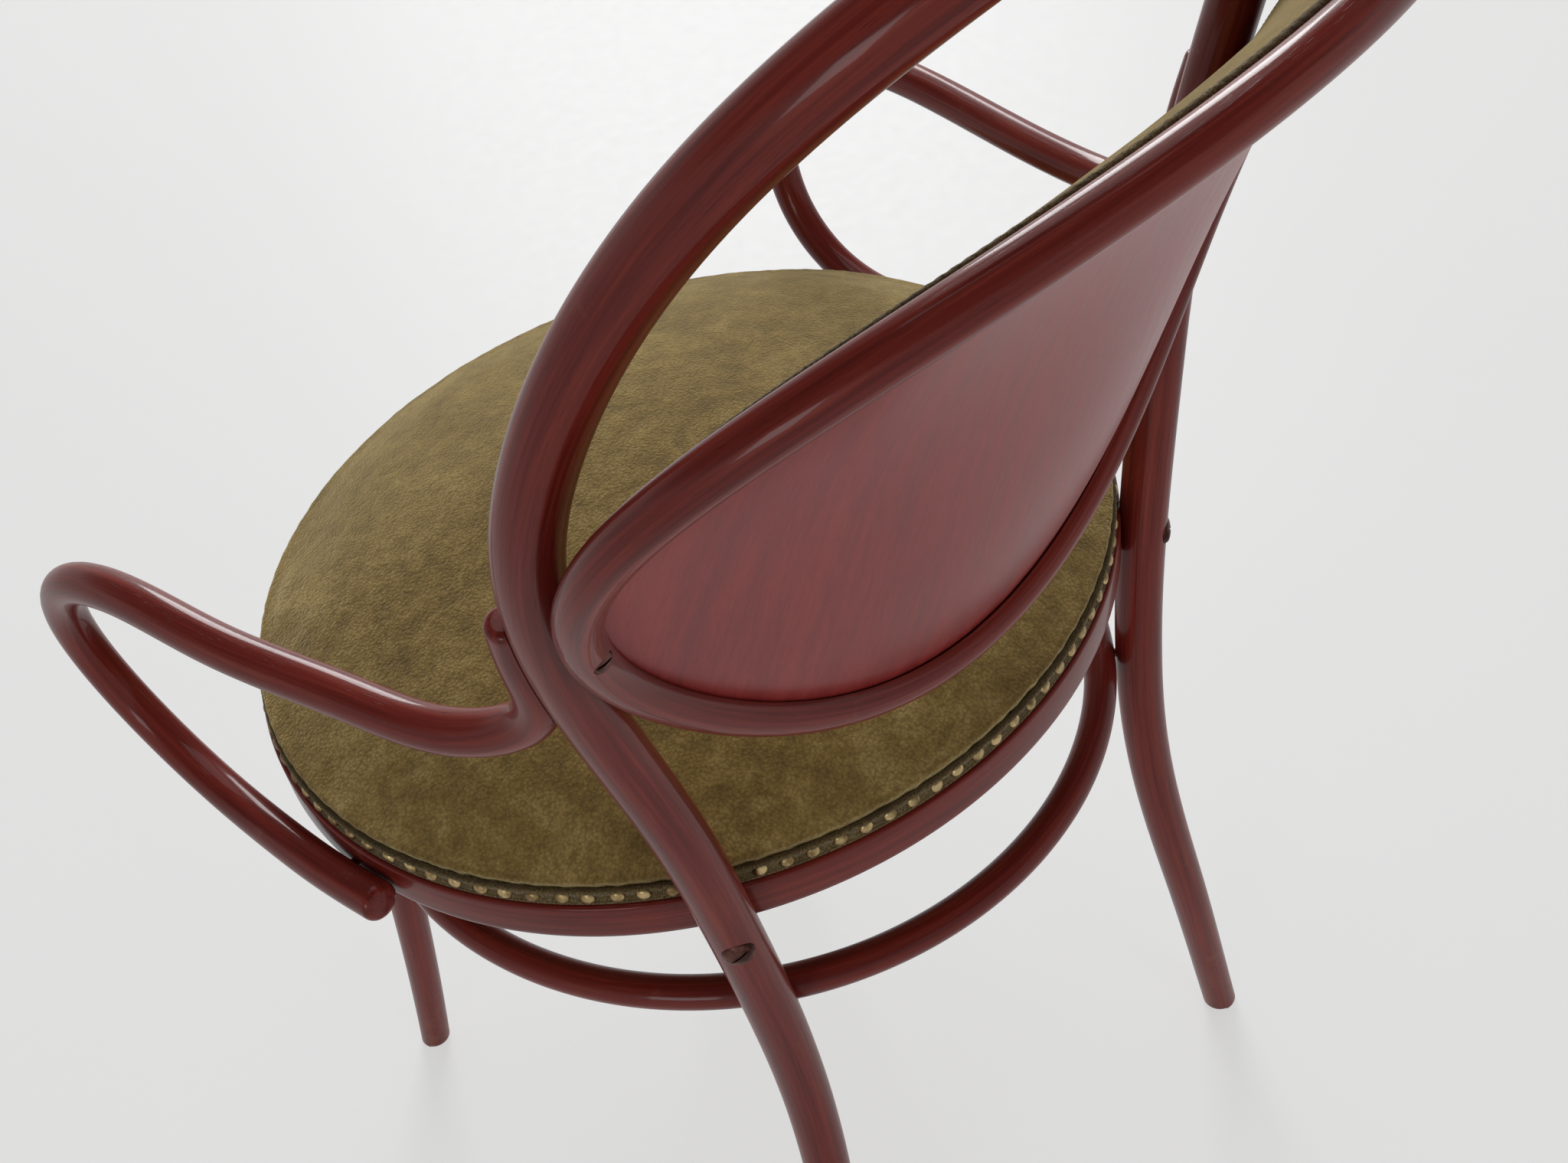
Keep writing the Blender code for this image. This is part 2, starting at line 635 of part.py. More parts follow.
    def arm_knots(self, beside):
        """The left arm's knots: down the post, forward, round the nose and back along the rail."""
        half_width, half_depth = RAIL_HALF_WIDTH + beside, RAIL_HALF_DEPTH + beside

        def before_post(height, diameter, proud):
            point, tangent = point_at_height(self.left_post, height)
            reach = (HOOP_DIAMETER - diameter) / 2 + proud
            return point + self.arm_side * reach / math.sqrt(1 - (tangent @ self.arm_side) ** 2)

        def beside_rail(y, height):
            behind = max(y, 0.0) / half_depth
            return np.array([half_width * math.sqrt(1 - behind**2), y, height])

        tip = before_post(ARM_TIP, ARM_TIP_DIAMETER, ARM_TIP_PROUD)
        bend = before_post(ARM_BEND, ARM_DIAMETER, ARM_BEND_PROUD)
        level = RAIL_TOP + ARM_HEIGHT
        run = RAIL_LOW + ARM_RUN_HEIGHT
        nose = RAIL_HALF_WIDTH + ARM_SPREAD
        turn = []
        for inset, reach, fall in ARM_TURN:
            turn.append((nose - inset, -reach * ARM_REACH, level - fall * (level - run)))
        return [
            tip,
            (tip + bend) / 2,
            bend,
            (bend[0] + ARM_HEEL[0], bend[1] + ARM_HEEL[1], level + ARM_HEEL[2]),
            (nose - ARM_HOLLOW[0], bend[1] + ARM_HOLLOW[1], level),
            (nose - ARM_ELBOW[0], bend[1] + ARM_ELBOW[1], level),
            *turn,
            beside_rail(ARM_RUN_FRONT, run - ARM_RUN_RISE),
            beside_rail((ARM_RUN_FRONT + ARM_RUN_BACK) / 2, run),
            beside_rail(ARM_RUN_BACK, run + ARM_RUN_RISE),
        ]

    def arms(self):
        """Low side arms, each a loop that is scarfed to the post and lies along the side of the rail."""
        self.arm_side = np.array([math.sin(ARM_APPROACH), -math.cos(ARM_APPROACH), 0.0])
        to_rail = ARM_DIAMETER / 2 + GAP
        turns = np.linspace(0, math.pi, 12 * SEAT_SEGMENTS)
        rail = np.array([oval_point(RAIL_HALF_WIDTH, RAIL_HALF_DEPTH, a) for a in turns])
        beside = to_rail
        for _ in range(8):
            path = smooth_path(self.arm_knots(beside), 8 * ARM_POINTS)
            low = path[path[:, 2] < RAIL_TOP + ARM_DIAMETER / 2][:, :2]
            beside += to_rail - closest_approach(low, rail)
        self.arm_path = smooth_path(self.arm_knots(beside), ARM_POINTS)
        steps = np.linalg.norm(np.diff(self.arm_path, axis=0), axis=1)
        scarf = np.clip(np.cumsum([0.0, *steps]) / (ARM_TIP - ARM_BEND), 0, 1)
        radii = (ARM_TIP_DIAMETER + (ARM_DIAMETER - ARM_TIP_DIAMETER) * scarf) / 2
        for side, label in ((1, "left"), (-1, "right")):
            path = self.arm_path * np.array([side, 1, 1])
            arm = self.piece("arm_" + label, bent_rod("arm_" + label, path, radii), self.wood)
            low, high = ARM_BEND - 2 * HOOP_DIAMETER, ARM_TIP + HOOP_DIAMETER
            cut(arm, self.post_room("arm_scarf_" + label, side, low, high))

    def back_fasteners(self):
        """Screws from the ring into the post, from the post into the arm, and from the rail into the arm."""
        rearward = np.array([0.0, 1.0, 0.0])
        ring_seat = RING_DIAMETER / 2 - SPOT_FACE
        post_seat = HOOP_DIAMETER / 2 - SPOT_FACE
        to_post = self.ring_step - HOOP_DIAMETER / 2 + SCREW_BITE
        to_arm = HOOP_DIAMETER / 2 + (ARM_TIP_PROUD + ARM_BEND_PROUD) / 2 - SCREW_COVER
        low, _ = point_at_height(self.left_post, (ARM_TIP + ARM_BEND) / 2)
        for side, label in ((1, "left"), (-1, "right")):
            mirror = np.array([side, 1, 1])
            seat = (self.back_post + rearward * (self.ring_step + ring_seat)) * mirror
            joined = ["back_ring", "back_hoop"]
            name = "back_bolt_" + label
            self.fasten(name, seat, rearward, SCREW_HEAD, SCREW_DIAMETER, ring_seat + to_post, joined)
            away = -self.arm_side * mirror
            seat = low * mirror + away * post_seat
            joined = ["back_hoop", "arm_" + label]
            name = "arm_screw_" + label
            self.fasten(name, seat, away, SCREW_HEAD, SCREW_DIAMETER, post_seat + to_arm, joined)
            self.rail_screw(label, side)

    def rail_screw(self, label, side):
        """A screw from inside the rail into the arm's lower run."""
        k = int(np.argmin(np.abs(self.arm_path[:, 1]) + np.abs(self.arm_path[:, 2] - RAIL_LOW)))
        target = self.arm_path[k]
        angle = math.atan2(target[0] / RAIL_HALF_WIDTH, target[1] / RAIL_HALF_DEPTH)
        normal = oval_normal(RAIL_HALF_WIDTH, RAIL_HALF_DEPTH, angle)
        inner = RAIL_HALF_WIDTH - RAIL_THICKNESS
        depth = distance_to_oval(target[:2], -normal, inner, inner * SEAT_RATIO) + HOLLOW_PLAY
        inward = np.array([-normal[0] * side, -normal[1], 0.0])
        seat = target * np.array([side, 1, 1]) + inward * depth
        joined = ["seat_rail", "arm_" + label]
        name = "rail_screw_" + label
        self.fasten(name, seat, inward, SCREW_HEAD, SCREW_DIAMETER, depth + GAP, joined)

    def centre(self):
        """Moves the chair along Y so that the origin is below the middle of its overall box."""
        bpy.context.view_layer.update()
        graph = bpy.context.evaluated_depsgraph_get()
        reach = []
        for item in self.pieces.values():
            finished = item.evaluated_get(graph)
            reach += [(finished.matrix_world @ Vector(corner)).y for corner in finished.bound_box]
        self.root.location.y = -(min(reach) + max(reach)) / 2

    def build(self):
        self.floor = self.floor_cut()
        self.seat_frame()
        self.seat_upholstery()
        self.hoop()
        self.rail_bolts()
        self.front_legs()
        self.stretcher()
        self.back()
        self.arms()
        self.back_fasteners()
        self.centre()


Chair().build()
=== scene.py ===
"""The bentwood chair's looks: smooth bent rods, upholstery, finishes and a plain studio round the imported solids.

Metres, +Z up. The chair's front faces -Y and its left side is +X.
"""

import logging
import math
from collections.abc import Callable
from dataclasses import dataclass
from enum import Enum
from functools import cache

import bmesh
import bpy
import numpy as np
from mathutils import Matrix, Vector
from mathutils.kdtree import KDTree


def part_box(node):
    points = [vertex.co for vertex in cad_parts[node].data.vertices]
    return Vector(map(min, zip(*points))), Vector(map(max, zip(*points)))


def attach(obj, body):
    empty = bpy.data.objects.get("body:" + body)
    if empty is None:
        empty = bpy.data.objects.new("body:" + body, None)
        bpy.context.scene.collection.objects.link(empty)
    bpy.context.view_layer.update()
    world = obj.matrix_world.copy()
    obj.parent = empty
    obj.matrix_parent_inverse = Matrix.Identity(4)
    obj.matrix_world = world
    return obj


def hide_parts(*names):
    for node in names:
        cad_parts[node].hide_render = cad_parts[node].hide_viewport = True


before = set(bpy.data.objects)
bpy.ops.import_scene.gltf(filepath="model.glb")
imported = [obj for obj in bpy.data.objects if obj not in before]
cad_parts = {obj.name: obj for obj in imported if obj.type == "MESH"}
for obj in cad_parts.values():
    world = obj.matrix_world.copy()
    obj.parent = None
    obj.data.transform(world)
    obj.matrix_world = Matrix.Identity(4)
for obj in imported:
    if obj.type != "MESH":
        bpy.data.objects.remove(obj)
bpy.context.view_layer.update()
BODY = "root"
SHARP_ANGLE = math.radians(38)
FULL_TURN = 2 * math.pi
WELD = 1e-6
UP = Vector((0, 0, 1))
END_STEPS = np.array([0.0, 0.05, 0.2, 0.45, 0.75])
log = logging.getLogger("bentwood_chair")

Pair = tuple[float, float]
Triple = tuple[float, float, float]
Colour = Triple
Socket = bpy.types.NodeSocket
Piece = bpy.types.Object
Shape = bmesh.types.BMesh

NOISE_RANGE: Pair = (0.3, 0.7)


class Side(Enum):
    """The chair's two sides, as its sitter names them."""

    LEFT = 1
    RIGHT = -1

    @property
    def label(self) -> str:
        """The side's name as the solids spell it."""
        return self.name.lower()

    def mirror(self, points: np.ndarray) -> np.ndarray:
        """Points that were set out on the left, moved to this side."""
        return np.array(points) * np.array([self.value, 1.0, 1.0])


# Paths
def smooth_path(knots: list[np.ndarray] | np.ndarray, count: int) -> np.ndarray:
    """Spreads points evenly on a natural cubic spline.

    Args:
        knots: The points that the spline passes through.
        count: How many points to give back.

    Returns:
        The points, one row each.
    """
    knots = np.array(knots, float)
    spans = np.linalg.norm(np.diff(knots, axis=0), axis=1)
    along = np.concatenate([[0.0], np.cumsum(spans)])
    slopes = np.diff(knots, axis=0) / spans[:, None]
    system = np.eye(len(knots))
    target = np.zeros_like(knots)
    for i in range(1, len(knots) - 1):
        system[i, i - 1 : i + 2] = spans[i - 1], 2 * (spans[i - 1] + spans[i]), spans[i]
        target[i] = 6 * (slopes[i] - slopes[i - 1])
    bend = np.linalg.solve(system, target)
    place = np.linspace(0, along[-1], count)
    k = np.clip(np.searchsorted(along, place, side="right") - 1, 0, len(spans) - 1)
    span = spans[k][:, None]
    a = (along[k + 1] - place)[:, None] / span
    b = 1 - a
    bow = (a**3 - a) * bend[k] + (b**3 - b) * bend[k + 1]
    return a * knots[k] + b * knots[k + 1] + bow * span**2 / 6


def eased(path: np.ndarray, passes: int = 24) -> np.ndarray:
    """Takes small unevenness out of an open path, with its ends kept.

    Args:
        path: The points of the path.
        passes: How often each point is drawn towards its neighbours.

    Returns:
        The eased path.
    """
    path = path.copy()
    for _ in range(passes):
        path[1:-1] = path[1:-1] / 2 + (path[:-2] + path[2:]) / 4
    return path


def unit(rows: np.ndarray) -> np.ndarray:
    """The rows as vectors of length 1."""
    return rows / np.linalg.norm(rows, axis=-1, keepdims=True)


def round_turn(count: int) -> np.ndarray:
    """Angles spread evenly over a full turn."""
    return np.linspace(0, FULL_TURN, count, endpoint=False)


def distances(path: np.ndarray) -> np.ndarray:
    """The length of the path up to each of its points."""
    steps = np.linalg.norm(np.diff(path, axis=0), axis=1)
    return np.concatenate([[0.0], np.cumsum(steps)])


def loop_length(path: np.ndarray) -> float:
    """The length of a closed path, all the way round."""
    return distances(path)[-1] + float(np.linalg.norm(path[0] - path[-1]))


def carried_frames(path: np.ndarray, closed: bool) -> tuple[np.ndarray, np.ndarray, np.ndarray]:
    """Carries two cross directions along a path without twisting them.

    Args:
        path: The points of the path.
        closed: Whether the last point joins the first.

    Returns:
        The tangents and the two cross directions at each point.
    """
    if closed:
        tangents = unit(np.roll(path, -1, axis=0) - np.roll(path, 1, axis=0))
    else:
        tangents = unit(np.gradient(path, axis=0))
    guide = np.eye(3)[int(np.argmin(np.abs(tangents[0])))]
    across = np.zeros_like(path)
    across[0] = unit(np.cross(tangents[0], guide))
    for i in range(1, len(path)):
        across[i] = unit(across[i - 1] - tangents[i] * (tangents[i] @ across[i - 1]))
    other = np.cross(tangents, across)
    if closed:
        end = unit(across[-1] - tangents[0] * (tangents[0] @ across[-1]))
        turn = math.atan2(end @ other[0], end @ across[0])
        share = -turn * np.arange(len(path)) / len(path)
        cos, sin = np.cos(share)[:, None], np.sin(share)[:, None]
        across, other = across * cos + other * sin, other * cos - across * sin
    return tangents, across, other


def spokes(path: np.ndarray, closed: bool, sides: int) -> tuple[np.ndarray, np.ndarray]:
    """Finds the directions from a path to the corners of a rod round it.

    Args:
        path: The points of the rod's middle line.
        closed: Whether the last point joins the first.
        sides: How many corners go round the rod.

    Returns:
        The corners' angles, and a unit direction for each point and corner.
    """
    _, across, other = carried_frames(path, closed)
    angles = FULL_TURN * np.arange(sides) / sides
    cos, sin = np.cos(angles)[None, :, None], np.sin(angles)[None, :, None]
    return angles, across[:, None] * cos + other[:, None] * sin


# Profiles
def arc(centre: Pair, radius: float, start: float, end: float, steps: int) -> list[Pair]:
    """Points of a circular arc in a profile.

    Args:
        centre: The arc's centre.
        radius: The arc's radius.
        start: The first angle, in degrees.
        end: The last angle, in degrees.
        steps: How many chords make the arc.

    Returns:
        The arc's points.
    """
    angles = np.radians(np.linspace(start, end, steps + 1))
    return [(centre[0] + radius * math.cos(a), centre[1] + radius * math.sin(a)) for a in angles]


def dome(radius: float, top: float, rim: float, count: int) -> list[Pair]:
    """Points of a domed head in a profile, from its top to its rim.

    Args:
        radius: The head's radius.
        top: The height of its top.
        rim: The height of its rim.
        count: How many points it has.

    Returns:
        The dome's points.
    """
    angles = np.radians(np.linspace(0, 90, count))
    return [(radius * math.sin(a), rim + (top - rim) * math.cos(a)) for a in angles]


# Meshes
def turned(profile: list[Pair], segments: int, closed: bool = False, ratio: float = 1.0) -> Shape:
    """Spins a profile round the Z axis.

    Args:
        profile: Pairs of radius and height.
        segments: How many steps make the full turn.
        closed: Whether the profile's last point joins its first.
        ratio: How far the shape is drawn in along Y.

    Returns:
        A bmesh of the turned shape.
    """
    bm = bmesh.new()
    points = [bm.verts.new((radius, 0.0, height)) for radius, height in profile]
    pairs = list(zip(points, points[1:]))
    if closed:
        pairs.append((points[-1], points[0]))
    edges = [bm.edges.new(pair) for pair in pairs]
    bmesh.ops.spin(bm, geom=points + edges, cent=(0, 0, 0), axis=UP, angle=FULL_TURN, steps=segments, use_merge=True)
    bmesh.ops.remove_doubles(bm, verts=bm.verts, dist=WELD)
    bmesh.ops.scale(bm, verts=bm.verts, vec=(1.0, ratio, 1.0))
    return bm


def loft(rings: np.ndarray, closed: bool) -> Shape:
    """Joins rings of points to a skin.

    Args:
        rings: Rings with the same number of points, in order along the piece.
        closed: Whether the last ring joins the first. If not, both ends are capped.

    Returns:
        A closed bmesh.
    """
    bm = bmesh.new()
    loops = [[bm.verts.new(point) for point in ring] for ring in rings]
    pairs = list(zip(loops, loops[1:]))
    if closed:
        pairs.append((loops[-1], loops[0]))
    for low, high in pairs:
        for i in range(len(low)):
            k = (i + 1) % len(low)
            bm.faces.new((low[i], low[k], high[k], high[i]))
    if not closed:
        bm.faces.new(loops[0][::-1])
        bm.faces.new(loops[-1])
    return bm


def shade(mesh: bpy.types.Mesh) -> None:
    """Shades round faces smooth and leaves sharp edges sharp."""
    mesh.shade_smooth()
    mesh.set_sharp_from_angle(angle=SHARP_ANGLE)


def add_piece(name: str, bm: Shape, smooth: bool = True) -> Piece:
    """Turns a bmesh into an object of the scene and frees it.

    Args:
        name: The piece's name.
        bm: The finished bmesh, in the frame of the chair.
        smooth: Whether round faces are shaded smooth.

    Returns:
        The new object.
    """
    bmesh.ops.recalc_face_normals(bm, faces=bm.faces)
    mesh = bpy.data.meshes.new(name)
    bm.to_mesh(mesh)
    bm.free()
    piece = bpy.data.objects.new(name, mesh)
    bpy.context.scene.collection.objects.link(piece)
    if smooth:
        shade(mesh)
    return piece


def settle(piece: Piece) -> Piece:
    """Applies a piece's modifiers to its mesh.

    Args:
        piece: A piece with modifiers.

    Returns:
        The piece, with none.
    """
    bpy.context.view_layer.update()
    graph = bpy.context.evaluated_depsgraph_get()
    mesh = bpy.data.meshes.new_from_object(piece.evaluated_get(graph))
    piece.modifiers.clear()
    old = piece.data
    piece.data = mesh
    bpy.data.meshes.remove(old)
    shade(mesh)
    return piece


def discard(piece: Piece) -> None:
    """Takes a piece and its mesh out of the scene."""
    mesh = piece.data
    bpy.data.objects.remove(piece)
    bpy.data.meshes.remove(mesh)


def carve(piece: Piece, cutters: list[Piece]) -> Piece:
    """Cuts shapes out of a piece and throws the cutters away.

    Args:
        piece: The piece to cut.
        cutters: Closed shapes of what is to be taken away.

    Returns:
        The piece, cut.
    """
    for cutter in cutters:
        modifier = piece.modifiers.new("cut", "BOOLEAN")
        modifier.operation = "DIFFERENCE"
        modifier.solver = "EXACT"
        modifier.object = cutter
    settle(piece)
    bm = bmesh.new()
    bm.from_mesh(piece.data)
    bmesh.ops.dissolve_degenerate(bm, dist=WELD, edges=bm.edges)
    bm.to_mesh(piece.data)
    bm.free()
    for cutter in cutters:
        discard(cutter)
    return piece


def points_of(mesh: bpy.types.Mesh) -> np.ndarray:
    """Reads a mesh's points.

    Args:
        mesh: The mesh.

    Returns:
        The points, one row each.
    """
    flat = np.empty(len(mesh.vertices) * 3, np.float32)
    mesh.vertices.foreach_get("co", flat)
    return flat.reshape(-1, 3).astype(float)


def move_points(mesh: bpy.types.Mesh, points: np.ndarray) -> None:
    """Gives the mesh's points new places."""
    mesh.vertices.foreach_set("co", points.astype(np.float32).ravel())
    mesh.update()


def tree_of(points: np.ndarray) -> KDTree:
    """Makes a search tree of points.

    Args:
        points: The points, one row each.

    Returns:
        The tree, which names each point by its row.
    """
    tree = KDTree(len(points))
    for i, point in enumerate(points):
        tree.insert(point, i)
    tree.balance()
    return tree


def write_grain(mesh: bpy.types.Mesh, along: np.ndarray, across: np.ndarray) -> None:
    """Stores where each point lies in the wood, for the grain.

    Args:
        mesh: The mesh of a wooden piece.
        along: Two columns, in metres along the grain.
        across: Two columns, in metres across the grain.
    """
    vector = np.column_stack([along, across[:, 0]]).astype(np.float32)
    mesh.attributes.new("grain", "FLOAT_VECTOR", "POINT").data.foreach_set("vector", vector.ravel())
    rest = np.ascontiguousarray(across[:, 1], np.float32)
    mesh.attributes.new("grain_w", "FLOAT", "POINT").data.foreach_set("value", rest)


# Finishes
class Nodes:
    """A node tree, with short ways to add nodes to it."""

    def __init__(self, tree: bpy.types.NodeTree) -> None:
        """Takes the tree that the nodes go into."""
        self.tree = tree

    def node(self, kind: str, values: dict[int | str, object] | None = None, **settings: object) -> bpy.types.Node:
        """Adds a node.

        Args:
            kind: The node's type, without its prefix.
            values: What its inputs hold, or the sockets that they are joined to.
            settings: The node's own properties.

        Returns:
            The new node.
        """
        made = self.tree.nodes.new("ShaderNode" + kind)
        for name, value in settings.items():
            setattr(made, name, value)
        for name, value in (values or {}).items():
            self.put(made.inputs[name], value)
        return made

    def put(self, socket: Socket, value: object) -> None:
        """Joins a socket to another, or sets its own value.

        Args:
            socket: The socket of a node's input.
            value: The socket to join it to, or the value to set.
        """
        if isinstance(value, Socket):
            self.tree.links.new(value, socket)
        else:
            socket.default_value = value

    def calc(self, operation: str, first: object, second: object) -> Socket:
        """One step of arithmetic."""
        return self.node("Math", {0: first, 1: second}, operation=operation).outputs["Value"]

    def times(self, first: object, second: object) -> Socket:
        """The product of two values."""
        return self.calc("MULTIPLY", first, second)

    def weigh(self, *parts: tuple[float, Socket]) -> Socket:
        """Adds sockets up, each times its share.

        Args:
            parts: Pairs of a share and a socket.

        Returns:
            The sum.
        """
        total = None
        for share, socket in parts:
            part = self.times(socket, share)
            total = part if total is None else self.calc("ADD", total, part)
        return total

    def stretch(self, vector: Socket, scale: Triple) -> Socket:
        """The vector times a scale for each axis."""
        return self.node("VectorMath", {0: vector, 1: scale}, operation="MULTIPLY").outputs["Vector"]

    def noise(self, place: Socket, scale: float, detail: float = 4.0, roughness: float = 0.55,
              distortion: float = 0.0, lie: Triple | None = None) -> Socket:
        """Soft noise.

        Args:
            place: Where the noise is looked up.
            scale: Its changes per metre.
            detail: How many finer layers it has.
            roughness: How strong they are.
            distortion: How far they are pulled about.
            lie: How much quicker it changes along each axis.

        Returns:
            A socket from 0 to 1.
        """
        vector = self.stretch(place, lie) if lie else place
        values = {"Vector": vector, "Scale": scale, "Detail": detail, "Roughness": roughness, "Distortion": distortion}
        return self.node("TexNoise", values).outputs["Fac"]

    def band(self, value: object, source: Pair, target: Pair = (0.0, 1.0)) -> Socket:
        """A value drawn from one range to another and held inside it."""
        ends = {"From Min": source[0], "From Max": source[1], "To Min": target[0], "To Max": target[1]}
        return self.node("MapRange", {"Value": value, **ends}, clamp=True).outputs["Result"]

    def ramp(self, factor: Socket, *stops: tuple[float, Colour]) -> Socket:
        """Looks a colour up between stops.

        Args:
            factor: Where to look, from 0 to 1.
            stops: The place and the colour of each stop.

        Returns:
            The colour.
        """
        made = self.node("ValToRGB", {"Fac": factor})
        row = made.color_ramp.elements
        while len(row) < len(stops):
            row.new(0.5)
        for element, (place, colour) in zip(row, stops):
            element.position = place
            element.color = (*colour, 1.0)
        return made.outputs["Color"]

    def blend(self, share: object, first: object, second: object) -> Socket:
        """Mixes two colours.

        Args:
            share: How much of the second there is.
            first: A colour or the socket of one.
            second: A colour or the socket of one.

        Returns:
            The mixed colour.
        """
        made = self.node("Mix", data_type="RGBA")
        for index, value in ((0, share), (6, first), (7, second)):
            self.put(made.inputs[index], (*value, 1.0) if isinstance(value, tuple) else value)
        return made.outputs[2]

    def bump(self, height: Socket, distance: float, strength: float = 1.0, under: Socket | None = None) -> Socket:
        """Makes a normal that follows a height.

        Args:
            height: The height, from 0 to 1.
            distance: What a height of 1 stands for.
            strength: How much of it shows.
            under: Another normal that this one is laid over.

        Returns:
            The normal.
        """
        values = {"Height": height, "Distance": distance, "Strength": strength}
        if under is not None:
            values["Normal"] = under
        return self.node("Bump", values).outputs["Normal"]


class Shading(Nodes):
    """The nodes of a new material."""

    def __init__(self, name: str) -> None:
        """Makes an empty Principled material of that name."""
        self.material = bpy.data.materials.new(name)
        self.material.use_nodes = True
        super().__init__(self.material.node_tree)
        self.shader = self.tree.nodes["Principled BSDF"]

    def set(self, **inputs: object) -> None:
        """Sets the shader's inputs, with _ for the blanks in their names."""
        for name, value in inputs.items():
            self.put(self.shader.inputs[name.replace("_", " ")], value)

    def place(self) -> Socket:
        """The point's place in the frame of the chair."""
        return self.node("TexCoord").outputs["Object"]

    def fibre(self, changes: Pair, detail: float, distortion: float = 0.0) -> Socket:
        """Noise that is drawn out along the wood's grain.

        Args:
            changes: Changes per metre along the grain and across it.
            detail: How many finer layers the noise has.
            distortion: How far the layers are pulled about.

        Returns:
            A socket from 0 to 1.
        """
        along, across = changes
        grain = self.node("Attribute", attribute_name="grain").outputs["Vector"]
        rest = self.node("Attribute", attribute_name="grain_w").outputs["Fac"]
        values = {
            "Vector": self.stretch(grain, (along, along, across)),
            "W": self.times(rest, across),
            "Scale": 1.0,
            "Detail": detail,
            "Roughness": 0.6,
            "Distortion": distortion,
        }
        return self.node("TexNoise", values, noise_dimensions="4D").outputs["Fac"]


@dataclass(frozen=True)
class Finish:
    """A finish and the slot that the record has for it."""

    name: str
    slot: str | None

    def material(self) -> bpy.types.Material:
        """Makes the finish."""
        raise NotImplementedError(self.name)


@dataclass(frozen=True)
class StainedWood(Finish):
    """Beech with a red-brown stain under lacquer, its grain along the piece."""

    name: str = "stained_beech"
    slot: str | None = "stained_beech"
    dark: Colour = (0.068, 0.0064, 0.0046)
    middle: Colour = (0.147, 0.0160, 0.0108)
    light: Colour = (0.226, 0.0330, 0.0212)
    worn: Colour = (0.230, 0.0850, 0.0500)
    streaks: Pair = (7.0, 300.0)
    fine_streaks: Pair = (20.0, 850.0)
    pores: Pair = (85.0, 1900.0)
    pore_tint: float = 0.55
    pore_depth: float = 0.6
    scuffed: float = 0.5
    kick_heights: Pair = (0.003, 0.060)
    wear: float = 0.55
    wear_roughness: float = 0.30
    roughness: Pair = (0.30, 0.42)
    coat: float = 0.30
    coat_roughness: float = 0.10
    specular: float = 0.08

    def material(self) -> bpy.types.Material:
        """Makes the finish."""
        s = Shading(self.name)
        streak = s.fibre(self.streaks, detail=6.0, distortion=0.4)
        fine = s.fibre(self.fine_streaks, detail=3.0)
        flecks = s.fibre(self.pores, detail=2.0)
        place = s.place()
        cloud = s.noise(place, scale=7.0, detail=3.0)
        tone = s.weigh((0.60, streak), (0.30, fine), (0.15, cloud))
        colour = s.ramp(tone, (0.36, self.dark), (0.52, self.middle), (0.68, self.light))
        pores = s.band(flecks, source=(0.60, 0.72))
        colour = s.blend(s.times(pores, self.pore_tint), colour, self.dark)
        scuffs = s.band(s.noise(place, scale=38.0, detail=9.0, roughness=0.68), source=(0.635, 0.70))
        height = s.node("SeparateXYZ", {0: place}).outputs["Z"]
        foot = s.band(height, self.kick_heights, target=(1.0, 0.0))
        kicked = s.times(foot, s.band(s.noise(place, scale=90.0, detail=6.0, roughness=0.6), source=(0.42, 0.62)))
        wear = s.times(s.calc("MAXIMUM", s.times(scuffs, self.scuffed), kicked), self.wear)
        colour = s.blend(wear, colour, self.worn)
        rough = s.band(streak, NOISE_RANGE, self.roughness)
        s.set(Base_Color=colour, Roughness=s.calc("ADD", rough, s.times(wear, self.wear_roughness)))
        s.set(Coat_Weight=self.coat, Coat_Roughness=self.coat_roughness, Coat_IOR=1.5, Specular_IOR_Level=self.specular)
        s.set(Normal=s.bump(s.calc("SUBTRACT", streak, s.times(pores, self.pore_depth)), distance=0.00012))
        return s.material


@dataclass(frozen=True)
class PlainPly(Finish):
    """Bare plywood with a faint grain, for the underside of the seat."""

    name: str = "plain_ply"
    slot: str | None = "plain_ply"
    dark: Colour = (0.26, 0.155, 0.075)
    light: Colour = (0.46, 0.320, 0.180)
    roughness: Pair = (0.62, 0.80)

    def material(self) -> bpy.types.Material:
        """Makes the finish."""
        s = Shading(self.name)
        place = s.place()
        grain = s.noise(place, scale=3.0, detail=6.0, roughness=0.62, distortion=0.8, lie=(6.0, 90.0, 90.0))
        fine = s.noise(place, scale=3.0, detail=2.0, lie=(20.0, 600.0, 600.0))
        stain = s.noise(place, scale=9.0)
        colour = s.ramp(s.weigh((0.7, grain), (0.3, fine)), (0.35, self.dark), (0.65, self.light))
        colour = s.blend(s.band(stain, source=(0.5, 0.75), target=(0.0, 0.5)), colour, self.dark)
        s.set(Base_Color=colour, Roughness=s.band(grain, NOISE_RANGE, self.roughness))
        s.set(Normal=s.bump(fine, distance=0.00015))
        return s.material


